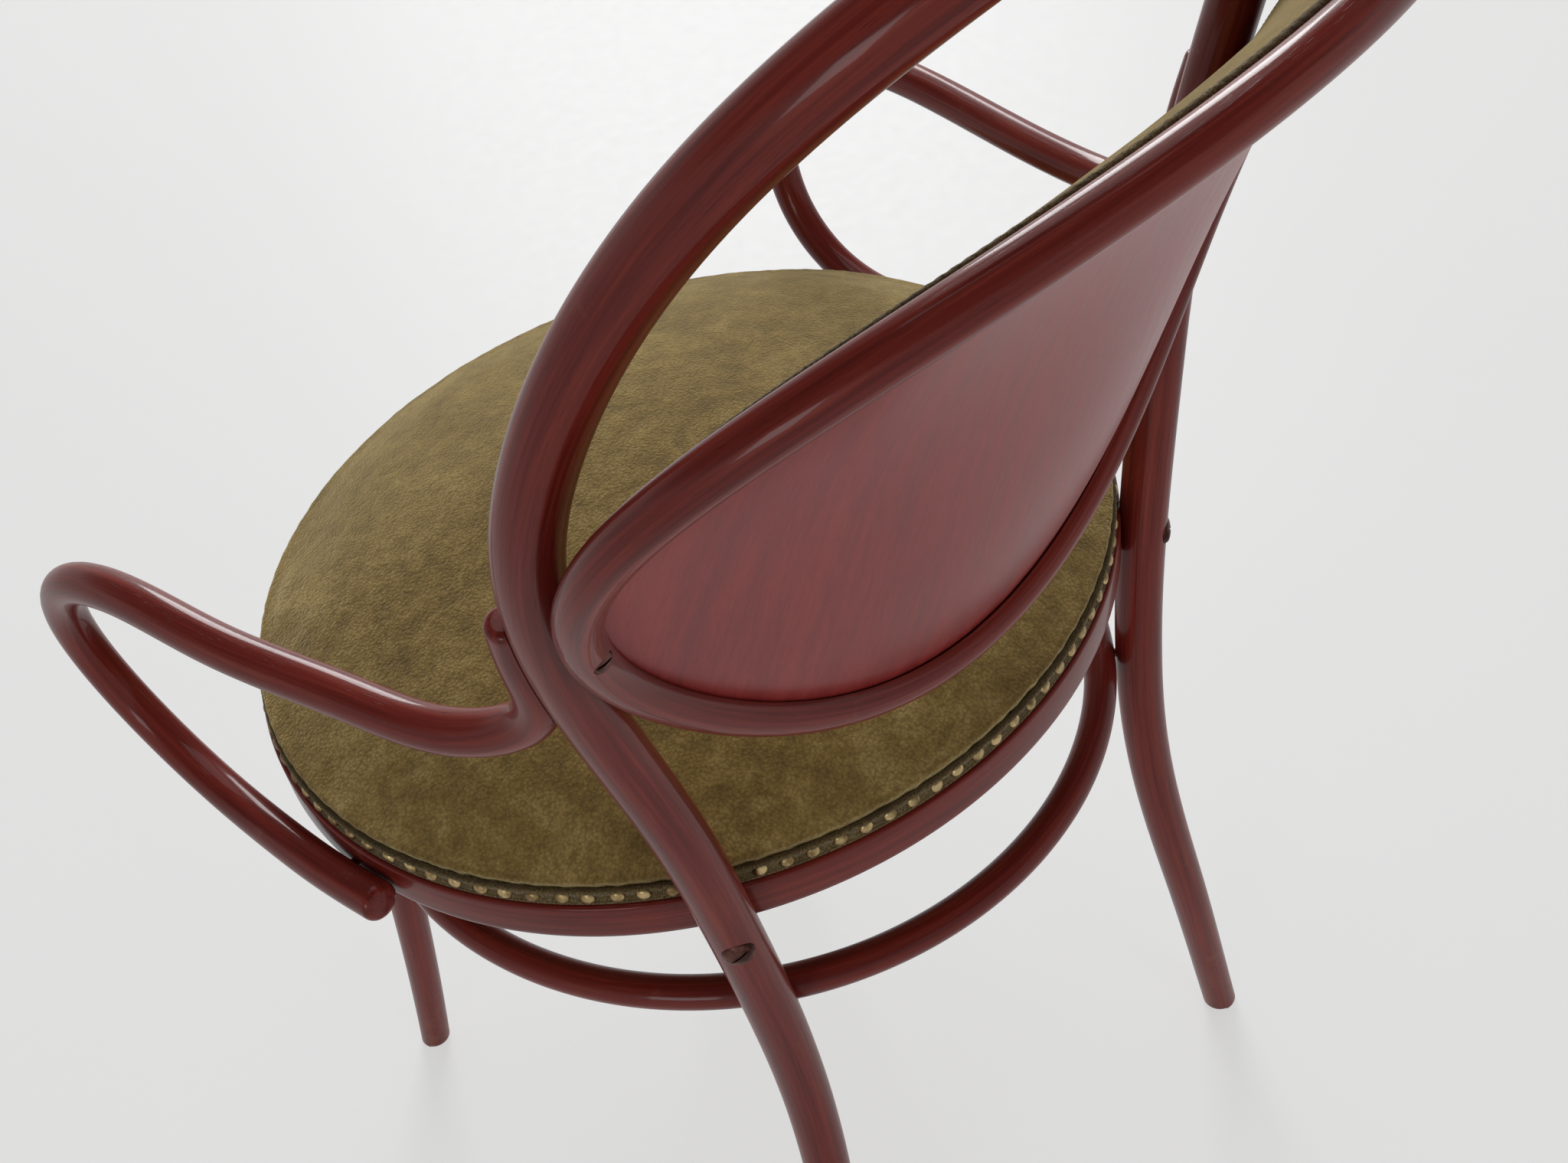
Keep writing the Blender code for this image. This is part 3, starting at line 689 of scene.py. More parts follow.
@dataclass(frozen=True)
class Plush(Finish):
    """Olive-gold furnishing plush, its pile brushed into lighter and darker patches."""

    name: str = "olive_fabric"
    slot: str | None = "olive_fabric"
    dark: Colour = (0.080, 0.046, 0.0125)
    middle: Colour = (0.206, 0.132, 0.0375)
    light: Colour = (0.355, 0.252, 0.0930)
    roughness: Pair = (0.86, 0.97)
    sheen: float = 0.90
    sheen_tint: Colour = (0.86, 0.72, 0.40)

    def material(self) -> bpy.types.Material:
        """Makes the finish."""
        s = Shading(self.name)
        place = s.place()
        brushed = s.noise(place, scale=15.0, roughness=0.60, distortion=0.5, lie=(1.0, 1.0, 0.55))
        crushed = s.noise(place, scale=85.0, roughness=0.62, distortion=0.3, lie=(1.0, 1.0, 0.6))
        pile = s.noise(place, scale=900.0, detail=2.0, roughness=0.6)
        tufts = s.node("TexVoronoi", {"Vector": place, "Scale": 620.0}).outputs["Distance"]
        tone = s.weigh((0.36, brushed), (0.44, crushed), (0.20, pile))
        colour = s.ramp(tone, (0.34, self.dark), (0.50, self.middle), (0.66, self.light))
        colour = s.blend(s.band(tufts, source=(0.35, 0.75), target=(0.0, 0.45)), colour, self.dark)
        s.set(Base_Color=colour, Roughness=s.band(crushed, NOISE_RANGE, self.roughness), Specular_IOR_Level=0.15)
        s.set(Sheen_Weight=self.sheen, Sheen_Roughness=0.42, Sheen_Tint=(*self.sheen_tint, 1.0))
        nap = s.bump(crushed, distance=0.0009)
        s.set(Normal=s.bump(s.calc("SUBTRACT", pile, tufts), distance=0.0005, strength=0.8, under=nap))
        return s.material


@dataclass(frozen=True)
class Braid(Finish):
    """Dull olive-brown furnishing braid, ribbed across its width."""

    name: str = "gimp_braid"
    slot: str | None = "gimp_braid"
    dark: Colour = (0.060, 0.038, 0.0130)
    light: Colour = (0.175, 0.122, 0.0460)
    roughness: Pair = (0.95, 0.78)

    def material(self) -> bpy.types.Material:
        """Makes the finish."""
        s = Shading(self.name)
        place = s.place()
        thread = s.noise(place, scale=1500.0, detail=2.0, lie=(1.0, 1.0, 0.35))
        dirt = s.noise(place, scale=60.0)
        colour = s.ramp(thread, (0.36, self.dark), (0.62, self.light))
        colour = s.blend(s.band(dirt, source=(0.48, 0.7), target=(0.0, 0.6)), colour, self.dark)
        s.set(Base_Color=colour, Roughness=s.band(thread, NOISE_RANGE, self.roughness))
        s.set(Sheen_Weight=0.2, Sheen_Roughness=0.5, Specular_IOR_Level=0.2)
        s.set(Normal=s.bump(thread, distance=0.0004))
        return s.material


@dataclass(frozen=True)
class Metal(Finish):
    """Metal with a cloudy tarnish and fine scratches."""

    bright: Colour
    dull: Colour
    roughness: Pair

    def material(self) -> bpy.types.Material:
        """Makes the finish."""
        s = Shading(self.name)
        place = s.place()
        tarnish = s.noise(place, scale=160.0, detail=5.0, roughness=0.62)
        scratch = s.noise(place, scale=2600.0, detail=2.0, lie=(1.0, 0.2, 1.0))
        colour = s.ramp(tarnish, (0.38, self.dull), (0.62, self.bright))
        rough = s.band(tarnish, source=(0.35, 0.65), target=self.roughness[::-1])
        s.set(Base_Color=colour, Metallic=1.0, Roughness=rough)
        s.set(Normal=s.bump(scratch, distance=0.00004))
        return s.material


@dataclass(frozen=True)
class PaleFloor(Finish):
    """A pale floor with a faint polish, that also glows where it is seen."""

    name: str = "pale_floor"
    slot: str | None = None
    colour: Colour = (0.820, 0.822, 0.824)
    cloud_tint: float = 0.965
    roughness: Pair = (0.38, 0.46)
    glow: Colour = (0.798, 0.796, 0.792)
    glow_share: float = 0.72

    def material(self) -> bpy.types.Material:
        """Makes the finish."""
        s = Shading(self.name)
        place = s.place()
        cloud = s.noise(place, scale=1.3, detail=3.0)
        tint = tuple(self.cloud_tint * value for value in self.colour)
        s.set(Base_Color=s.blend(s.band(cloud, source=(0.35, 0.65)), self.colour, tint), Specular_IOR_Level=0.35)
        s.set(Roughness=s.band(s.noise(place, scale=60.0, detail=3.0), NOISE_RANGE, self.roughness))
        light = s.node("LightPath").outputs
        shown = s.calc("MAXIMUM", light["Is Camera Ray"], light["Is Glossy Ray"])
        shown = s.calc("MAXIMUM", shown, light["Is Transmission Ray"])
        glow = s.node("Emission", {"Color": (*self.glow, 1.0)})
        shaders = {0: s.times(shown, self.glow_share), 1: s.shader.outputs[0], 2: glow.outputs[0]}
        s.put(s.tree.nodes["Material Output"].inputs["Surface"], s.node("MixShader", shaders).outputs[0])
        return s.material


BEECH = StainedWood()
VENEER = StainedWood(
    name="stained_ply", slot="stained_ply", dark=(0.166, 0.0150, 0.0130), middle=(0.228, 0.0240, 0.0210),
    light=(0.288, 0.0370, 0.0325), streaks=(5.0, 120.0), roughness=(0.36, 0.46), coat=0.36,
    coat_roughness=0.24, specular=0.05, wear=0.25)
PLY = PlainPly()
PLUSH = Plush()
GIMP = Braid()
STEEL = Metal("dark_steel", "dark_steel", (0.135, 0.060, 0.048), (0.055, 0.022, 0.017), (0.40, 0.62))
BRASS = Metal("antique_brass", None, (0.52, 0.39, 0.19), (0.20, 0.13, 0.055), (0.26, 0.52))
FLOOR = PaleFloor()


@cache
def material_of(finish: Finish) -> bpy.types.Material:
    """The finish's material, made once."""
    return finish.material()


def dress(piece: Piece, finish: Finish) -> None:
    """Gives a piece its finish.

    Args:
        piece: A new piece or a solid that stays.
        finish: What it is finished in.
    """
    piece.data.materials.clear()
    piece.data.materials.append(material_of(finish))


def install(piece: Piece, finish: Finish, *nodes: str) -> Piece:
    """Dresses a piece and lets it ride with the chair and stand for its solids.

    Args:
        piece: The finished shape.
        finish: What it is finished in.
        nodes: The solids that it stands for.

    Returns:
        The piece.
    """
    dress(piece, finish)
    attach(piece, BODY)
    if nodes:
        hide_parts(*nodes)
    log.info("%s: %d faces", piece.name, len(piece.data.polygons))
    return piece


# Rods and cords
@dataclass
class BentRod:
    """A round steam-bent rod that follows a path."""

    name: str
    path: np.ndarray
    radii: np.ndarray
    closed: bool = False
    sides: int = 28
    end_round: float = 0.0025

    def softened(self) -> tuple[np.ndarray, np.ndarray]:
        """Rounds the ends of a rod that isn't a loop.

        Returns:
            The path and the radii.
        """
        if self.closed or not self.end_round:
            return self.path, self.radii
        along = distances(self.path)
        reach = self.end_round
        steps = reach * END_STEPS
        inner = along[(along > reach) & (along < along[-1] - reach)]
        place = np.concatenate([steps, [reach], inner, [along[-1] - reach], along[-1] - steps[::-1]])
        path = np.column_stack([np.interp(place, along, self.path[:, i]) for i in range(3)])
        short = np.clip(reach - np.minimum(place, along[-1] - place), 0, reach)
        radii = np.interp(place, along, self.radii) - reach + np.sqrt(reach**2 - short**2)
        return path, radii

    def shape(self, allowance: float = 0.0) -> Shape:
        """Sweeps a circle along the path.

        Args:
            allowance: How much thicker than the rod the shape is, all round.

        Returns:
            A closed bmesh.
        """
        path, radii = self.softened()
        _, directions = spokes(path, self.closed, self.sides)
        return loft(path[:, None] + directions * (radii + allowance)[:, None, None], self.closed)

    def build(self) -> Piece:
        """The rod as a piece."""
        return add_piece(self.name, self.shape())

    def cutter(self, allowance: float) -> Piece:
        """A slightly thicker copy, to make room for the rod in another piece."""
        return add_piece(self.name + "_room", self.shape(allowance))

    def lay_grain(self, piece: Piece) -> None:
        """Runs the wood's grain along a piece.

        Args:
            piece: What was made from the rod.
        """
        tangents, across, other = carried_frames(self.path, self.closed)
        along = distances(self.path)
        tree = tree_of(self.path)
        points = points_of(piece.data)
        near = np.array([tree.find(point)[1] for point in points])
        offset = points - self.path[near]
        length = along[near] + (offset * tangents[near]).sum(axis=1)
        if self.closed:
            whole = loop_length(self.path)
            turn = FULL_TURN * length / whole
            run = np.column_stack([np.cos(turn), np.sin(turn)]) * whole / FULL_TURN
        else:
            run = np.column_stack([length, np.zeros_like(length)])
        sides = np.column_stack([(offset * across[near]).sum(axis=1), (offset * other[near]).sum(axis=1)])
        write_grain(piece.data, run, sides)

    def install(self, piece: Piece, node: str) -> None:
        """Stains a piece that was made from the rod, its grain along it, and puts it on the chair."""
        self.lay_grain(piece)
        install(piece, BEECH, node)


def stand_on_floor(piece: Piece, chamfer: float = 0.0012) -> Piece:
    """Trims a piece flat at the floor and eases the edge of its foot.

    Args:
        piece: A rod that runs through the floor.
        chamfer: How much of the edge is taken off.

    Returns:
        The piece, standing.
    """
    bm = bmesh.new()
    bm.from_mesh(piece.data)
    everything = [*bm.verts, *bm.edges, *bm.faces]
    bmesh.ops.bisect_plane(bm, geom=everything, dist=WELD, plane_co=(0, 0, 0), plane_no=UP, clear_inner=True)
    rim = [edge for edge in bm.edges if edge.is_boundary]
    bmesh.ops.edgeloop_fill(bm, edges=rim)
    rim = [edge for edge in bm.edges if all(abs(corner.co.z) < WELD for corner in edge.verts)]
    bmesh.ops.bevel(bm, geom=rim, offset=chamfer, segments=3, profile=0.5, affect="EDGES")
    bmesh.ops.recalc_face_normals(bm, faces=bm.faces)
    bm.to_mesh(piece.data)
    bm.free()
    shade(piece.data)
    return piece


@dataclass(frozen=True)
class TwistedCord:
    """A closed cord with strands that wind round it."""

    radius: float
    pitch: float
    strands: int = 3
    sides: int = 18
    furrow: float = 0.20

    def build(self, name: str, path: np.ndarray) -> Piece:
        """Twists the cord.

        Args:
            name: The cord's name.
            path: A closed path of its middle line.

        Returns:
            The cord.
        """
        angles, directions = spokes(path, True, self.sides)
        whole = loop_length(path)
        turns = round(whole / self.pitch)
        wind = self.strands * (angles[None, :] + FULL_TURN * turns * distances(path)[:, None] / whole)
        reach = self.radius * (1 - self.furrow + self.furrow * np.abs(np.cos(wind / 2)))
        return add_piece(name, loft(path[:, None] + directions * reach[:, :, None], True))


@dataclass(frozen=True)
class Swelling:
    """Fills a cover out with a short cloth simulation under air pressure."""

    voxel: float = 0.005
    pressure: float = 4.0
    quality: int = 5
    mass: float = 0.3
    stiffness: float = 15.0
    steps: int = 20
    most: float = 0.012
    least: float = 1e-9
    neighbours: int = 10

    def fill(self, piece: Piece, held: Callable[[np.ndarray], np.ndarray]) -> None:
        """Swells a piece and makes its mesh finer.

        Args:
            piece: The stuffed piece, a little slacker than it should become.
            held: Tells which points stay where they are.
        """
        self.swell(piece, held)
        finer = piece.modifiers.new("finer", "SUBSURF")
        finer.levels = finer.render_levels = 1
        settle(piece)

    def swell(self, piece: Piece, held: Callable[[np.ndarray], np.ndarray]) -> None:
        """Blows up an evenly meshed copy of a piece and moves the piece's points along with it.

        Args:
            piece: The stuffed piece.
            held: Tells which points stay where they are.
        """
        cover = bpy.data.objects.new(piece.name + "_cover", piece.data.copy())
        bpy.context.scene.collection.objects.link(cover)
        remesh = cover.modifiers.new("even_mesh", "REMESH")
        remesh.mode = "VOXEL"
        remesh.voxel_size = self.voxel
        settle(cover)
        before = points_of(cover.data)
        move = self.simulate(cover, held(before)) - before
        length = np.linalg.norm(move, axis=1, keepdims=True)
        move *= np.minimum(1.0, self.most / np.maximum(length, self.least))
        tree = tree_of(before)
        points = points_of(piece.data)
        for i, point in enumerate(points):
            found = tree.find_n(point, self.neighbours)
            weights = np.array([1 / (self.voxel / 4 + distance) for _, _, distance in found])
            points[i] += weights @ move[[k for _, k, _ in found]] / weights.sum()
        move_points(piece.data, points)
        discard(cover)

    def simulate(self, cover: Piece, held: np.ndarray) -> np.ndarray:
        """Runs the cloth.

        Args:
            cover: The evenly meshed cover.
            held: Which of its points are held.

        Returns:
            Its points at the end.
        """
        group = cover.vertex_groups.new(name="held")
        group.add([int(i) for i in np.nonzero(held)[0]], 1.0, "REPLACE")
        cloth = cover.modifiers.new("cover", "CLOTH")
        settings = cloth.settings
        settings.quality = self.quality
        settings.mass = self.mass
        settings.tension_stiffness = settings.compression_stiffness = self.stiffness
        settings.use_pressure = True
        settings.uniform_pressure_force = self.pressure
        settings.vertex_group_mass = group.name
        settings.effector_weights.gravity = 0
        cloth.point_cache.frame_start = 1
        cloth.point_cache.frame_end = self.steps
        scene = bpy.context.scene
        for step in range(1, self.steps + 1):
            scene.frame_set(step)
        swollen = cover.evaluated_get(bpy.context.evaluated_depsgraph_get())
        points = points_of(swollen.data)
        cover.modifiers.clear()
        scene.frame_set(1)
        return points


SWELL = Swelling()


# Sub-assemblies
@dataclass(frozen=True)
class Measures:
    """Sizes that more than one sub-assembly is set out from."""

    seat_axis: float
    gap: float = 0.0003
    rail_half_width: float = 0.2290
    rail_half_depth: float = 0.2095
    rail_low: float = 0.4100
    rail_top: float = 0.4340
    hoop_diameter: float = 0.0245
    ring_diameter: float = 0.0172
    arm_diameter: float = 0.0190

    @property
    def ratio(self) -> float:
        """The seat's depth over its width."""
        return self.rail_half_depth / self.rail_half_width

    def oval(self, half_width: float, angle: float) -> np.ndarray:
        """A plan point on an oval of the seat's shape, its angle counted from the back towards the left."""
        return np.array([half_width * math.sin(angle), half_width * self.ratio * math.cos(angle)])

    def oval_normal(self, angle: float) -> np.ndarray:
        """The oval's outward direction in plan."""
        return unit(np.array([math.sin(angle) / self.rail_half_width, math.cos(angle) / self.rail_half_depth]))

    def placed(self, points: np.ndarray) -> np.ndarray:
        """Points that were set out round the seat's axis, in the frame of the chair."""
        return np.array(points, float) + np.array([0.0, self.seat_axis, 0.0])

    def loop(self, half_width: float, height: float, count: int) -> np.ndarray:
        """A level path of the seat's shape, in the frame of the chair."""
        return self.placed([(*self.oval(half_width, angle), height) for angle in round_turn(count)])

    def seated(self, name: str, bm: Shape) -> Piece:
        """A shape that was turned round the Z axis, made a piece round the seat's axis."""
        bmesh.ops.translate(bm, verts=bm.verts, vec=(0.0, self.seat_axis, 0.0))
        return add_piece(name, bm)


@dataclass
class Fastener:
    """A domed, slotted screw or bolt that takes the place of its plain solid."""

    node: str
    head: Pair
    shank: float
    slot: Pair = (0.0011, 0.0009)
    segments: int = 32
    rim: float = 0.35
    dome_points: int = 9
    head_zone: float = 1.5
    slot_reach: float = 3.0
    recess_reach: float = 4.0

    def __post_init__(self) -> None:
        """Finds the fastener's seat, direction and length from its solid."""
        points = points_of(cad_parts[self.node].data)
        middle = (points.max(axis=0) + points.min(axis=0)) / 2
        centred = points - points.mean(axis=0)
        axis = np.linalg.svd(centred, full_matrices=False)[2][0]
        along = (points - middle) @ axis
        spread = np.linalg.norm(points - middle - np.outer(along, axis), axis=1)
        if along[int(np.argmax(spread))] < 0:
            axis, along = -axis, -along
        base = points[along < along.max() - self.head_zone * self.head[1]].mean(axis=0)
        along = (points - base) @ axis
        self.axis = axis
        self.seat = base + axis * (along.max() - self.head[1])
        self.length = along.max() - self.head[1] - along.min()

    def place(self) -> Matrix:
        """Where the fastener sits, its head along its own Z."""
        turn = UP.rotation_difference(Vector(self.axis))
        return Matrix.Translation(Vector(self.seat)) @ turn.to_matrix().to_4x4()

    def build(self) -> Piece:
        """Turns the fastener and cuts the driver's slot.

        Returns:
            The fastener in its place.
        """
        radius, height = self.head[0] / 2, self.head[1]
        head = dome(radius, height, height * self.rim, self.dome_points)
        shank = [(radius, 0.0), (self.shank / 2, 0.0), (self.shank / 2, -self.length), (0.0, -self.length)]
        piece = add_piece(self.node + "_turned", turned([*head, *shank], self.segments))
        width, depth = self.slot
        cutter = bmesh.new()
        bmesh.ops.create_cube(cutter, size=1.0)
        bmesh.ops.scale(cutter, verts=cutter.verts, vec=(self.slot_reach * radius, width, 2 * depth))
        bmesh.ops.translate(cutter, verts=cutter.verts, vec=(0, 0, height))
        carve(piece, [add_piece("driver_slot", cutter, smooth=False)])
        piece.data.transform(self.place())
        return piece

    def recess(self, gap: float) -> Piece:
        """Makes a cutter for the spot face that the head sits in.

        Args:
            gap: How far the wood stays clear of the head.

        Returns:
            The cutter in its place.
        """
        wide = self.head[0] / 2 + gap
        deep = self.recess_reach * self.head[1]
        bm = turned([(0.0, deep), (wide, deep), (wide, -gap), (0.0, -gap)], self.segments)
        cutter = add_piece(self.node + "_recess", bm, smooth=False)
        cutter.data.transform(self.place())
        return cutter


@dataclass
class Hardware:
    """Every screw, bolt, washer and nut of the chair."""

    bolt_head: Pair = (0.0140, 0.0040)
    bolt: float = 0.0070
    screw_head: Pair = (0.0085, 0.0026)
    screw: float = 0.0045

    def __post_init__(self) -> None:
        """Reads the places of all the fasteners from their solids."""
        self.items: dict[str, Fastener] = {}
        for node in sorted(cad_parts):
            if "screw" in node or node.startswith("back_bolt"):
                self.items[node] = Fastener(node, self.screw_head, self.screw)
            elif node.startswith("rail_bolt"):
                self.items[node] = Fastener(node, self.bolt_head, self.bolt)

    def recesses(self, gap: float, *starts: str) -> list[Piece]:
        """Cutters for the heads of the fasteners whose names start so."""
        return [item.recess(gap) for node, item in self.items.items() if node.startswith(starts)]

    def build(self) -> None:
        """Makes the fasteners, and dresses the washers and nuts that stay as they are."""
        for node, item in self.items.items():
            install(item.build(), STEEL, node)
        for node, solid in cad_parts.items():
            if node.startswith(("rail_washer", "rail_nut")):
                dress(solid, STEEL)


@dataclass
class SeatFrame:
    """The seat rail on its two front legs, with the stretcher ring between all four legs."""

    measures: Measures
    hardware: Hardware
    rail_thickness: float = 0.0260
    rail_round: float = 0.0060
    rail_ease: float = 0.0015
    rebate_width: float = 0.0090
    board_thickness: float = 0.0060
    rail_segments: int = 256
    rail_points: int = 400
    leg_angle: float = math.radians(39.5)
    leg_diameter: float = 0.0235
    leg_foot: float = 0.0190
    leg_taper: float = 0.34
    leg_splay: Pair = (0.0220, -0.0415)
    leg_curve: float = 1.6
    leg_points: int = 90
    stretcher_diameter: float = 0.0170
    stretcher_points: int = 260
    stretcher_sides: int = 24

    @property
    def rail_middle(self) -> float:
        """The half width of the rail's middle line."""
        return self.measures.rail_half_width - self.rail_thickness / 2

    def rail(self, rooms: list[Piece]) -> None:
        """Turns the rail and notches it for the posts.

        Args:
            rooms: Cutters that make room for the posts.
        """
        m = self.measures
        outer, inner = m.rail_half_width, m.rail_half_width - self.rail_thickness
        crest = self.rail_round / 3
        floor = m.rail_top - self.board_thickness - m.gap
        profile = [
            *arc((inner + self.rail_ease, m.rail_low + self.rail_ease), self.rail_ease, 180, 270, 3),
            *arc((outer - self.rail_round, m.rail_low + self.rail_round), self.rail_round, -90, 0, 7),
            *arc((outer - crest, m.rail_top - crest), crest, 0, 90, 5),
            (inner + self.rebate_width, m.rail_top),
            (inner + self.rebate_width, floor),
            (inner, floor),
        ]
        piece = m.seated("rail", turned(profile, self.rail_segments, closed=True, ratio=m.ratio))
        carve(piece, rooms)
        path = m.loop(self.rail_middle, (m.rail_low + m.rail_top) / 2, self.rail_points)
        rod = BentRod("rail", path, np.full(len(path), self.rail_thickness / 2), closed=True)
        rod.install(piece, "seat_rail")

    def legs(self) -> None:
        """Bends the two front legs."""
        m = self.measures
        top = m.oval(self.rail_middle, math.pi - self.leg_angle)
        shoulder = m.rail_low - m.gap
        share = np.linspace(1 + self.leg_foot / m.rail_low, 0, self.leg_points)
        plan = top + np.array(self.leg_splay) * share[:, None] ** self.leg_curve
        path = m.placed(np.column_stack([plan, shoulder * (1 - share)]))
        rise = np.clip(path[:, 2] / self.leg_taper, 0, 1)
        radii = (self.leg_foot + (self.leg_diameter - self.leg_foot) * rise) / 2
        for side in Side:
            rod = BentRod("leg_" + side.label, side.mirror(path), radii, end_round=0.0)
            rod.install(stand_on_floor(rod.build()), "front_leg_" + side.label)

    def stretcher(self) -> None:
        """Bends the stretcher ring and sinks its screw heads."""
        low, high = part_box("stretcher_ring")
        centre = (low + high) / 2
        radius = (high.x - low.x) / 2 - self.stretcher_diameter / 2
        turns = round_turn(self.stretcher_points) + math.pi / 2
        path = np.array([(radius * math.sin(a), centre.y + radius * math.cos(a), centre.z) for a in turns])
        radii = np.full(len(path), self.stretcher_diameter / 2)
        rod = BentRod("stretcher", path, radii, closed=True, sides=self.stretcher_sides)
        heads = self.hardware.recesses(self.measures.gap, "stretcher_screw")
        rod.install(carve(rod.build(), heads), "stretcher_ring")

    def build(self, rooms: list[Piece]) -> None:
        """Makes the rail, legs and stretcher, and dresses the seat board that stays.

        Args:
            rooms: Cutters that make room for the posts in the rail.
        """
        self.rail(rooms)
        self.legs()
        self.stretcher()
        dress(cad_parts["seat_board"], PLY)


@dataclass
class Hoop:
    """The rear legs and the outer back, bent in one rod."""

    measures: Measures
    hardware: Hardware
    foot_diameter: float = 0.0200
    taper_height: float = 0.34
    post_angle: float = math.radians(39.4)
    post_notch: float = 0.0020
    notch_room: float = 0.04
    bolt_height: float = 0.41885
    below: tuple[Triple, ...] = ((0.0275, 0.0355, 0.000), (0.0035, 0.0250, 0.140), (-0.0113, 0.0080, 0.280))
    above: tuple[Triple, ...] = (
        (0.0135, -0.0010, 0.500), (0.0370, -0.0015, 0.600), (0.0505, 0.0175, 0.700),
        (0.0215, 0.0625, 0.800), (-0.0435, 0.1345, 0.880))
    top: Triple = (0.0, 0.345, 0.912)
    points: int = 640

    def __post_init__(self) -> None:
        """Sets the rod out from its bolts on the rail."""
        m = self.measures
        stand_off = m.hoop_diameter / 2 + m.gap - self.post_notch
        bolt = m.oval(m.rail_half_width, self.post_angle) + m.oval_normal(self.post_angle) * stand_off
        stations = [*self.below, (0.0, 0.0, self.bolt_height), *self.above]
        left = [np.array([bolt[0] + x, bolt[1] + y, z]) for x, y, z in stations]
        under = left[0] + (left[0] - left[1]) * (self.foot_diameter / left[1][2])
        left.insert(0, under)
        knots = [*left, np.array(self.top), *Side.RIGHT.mirror(left[::-1])]
        path = m.placed(smooth_path(knots, self.points))
        rise = np.clip(path[:, 2] / self.taper_height, 0, 1)
        radii = (self.foot_diameter + (m.hoop_diameter - self.foot_diameter) * rise) / 2
        self.rod = BentRod("hoop", path, radii, end_round=0.0)
        self.left_post = path[: self.points // 2]

    def room(self, side: Side, low: float, high: float) -> Piece:
        """Makes a cutter for a stretch of one post.

        Args:
            side: Which post.
            low: The height where the stretch starts.
            high: The height where it ends.

        Returns:
            The cutter.
        """
        heights = self.left_post[:, 2]
        stretch = side.mirror(self.left_post[(heights > low) & (heights < high)])
        radii = np.full(len(stretch), self.measures.hoop_diameter / 2)
        return BentRod("post_" + side.label, stretch, radii, end_round=0.0).cutter(self.measures.gap)

    def notches(self) -> list[Piece]:
        """Cutters for both posts where they pass the rail."""
        low, high = self.measures.rail_low - self.notch_room, self.measures.rail_top + self.notch_room
        return [self.room(side, low, high) for side in Side]

    def build(self) -> None:
        """Bends the hoop, trims its feet and sinks the bolt and screw heads."""
        piece = stand_on_floor(self.rod.build())
        carve(piece, self.hardware.recesses(self.measures.gap, "rail_bolt", "arm_screw"))
        self.rod.install(piece, "back_hoop")


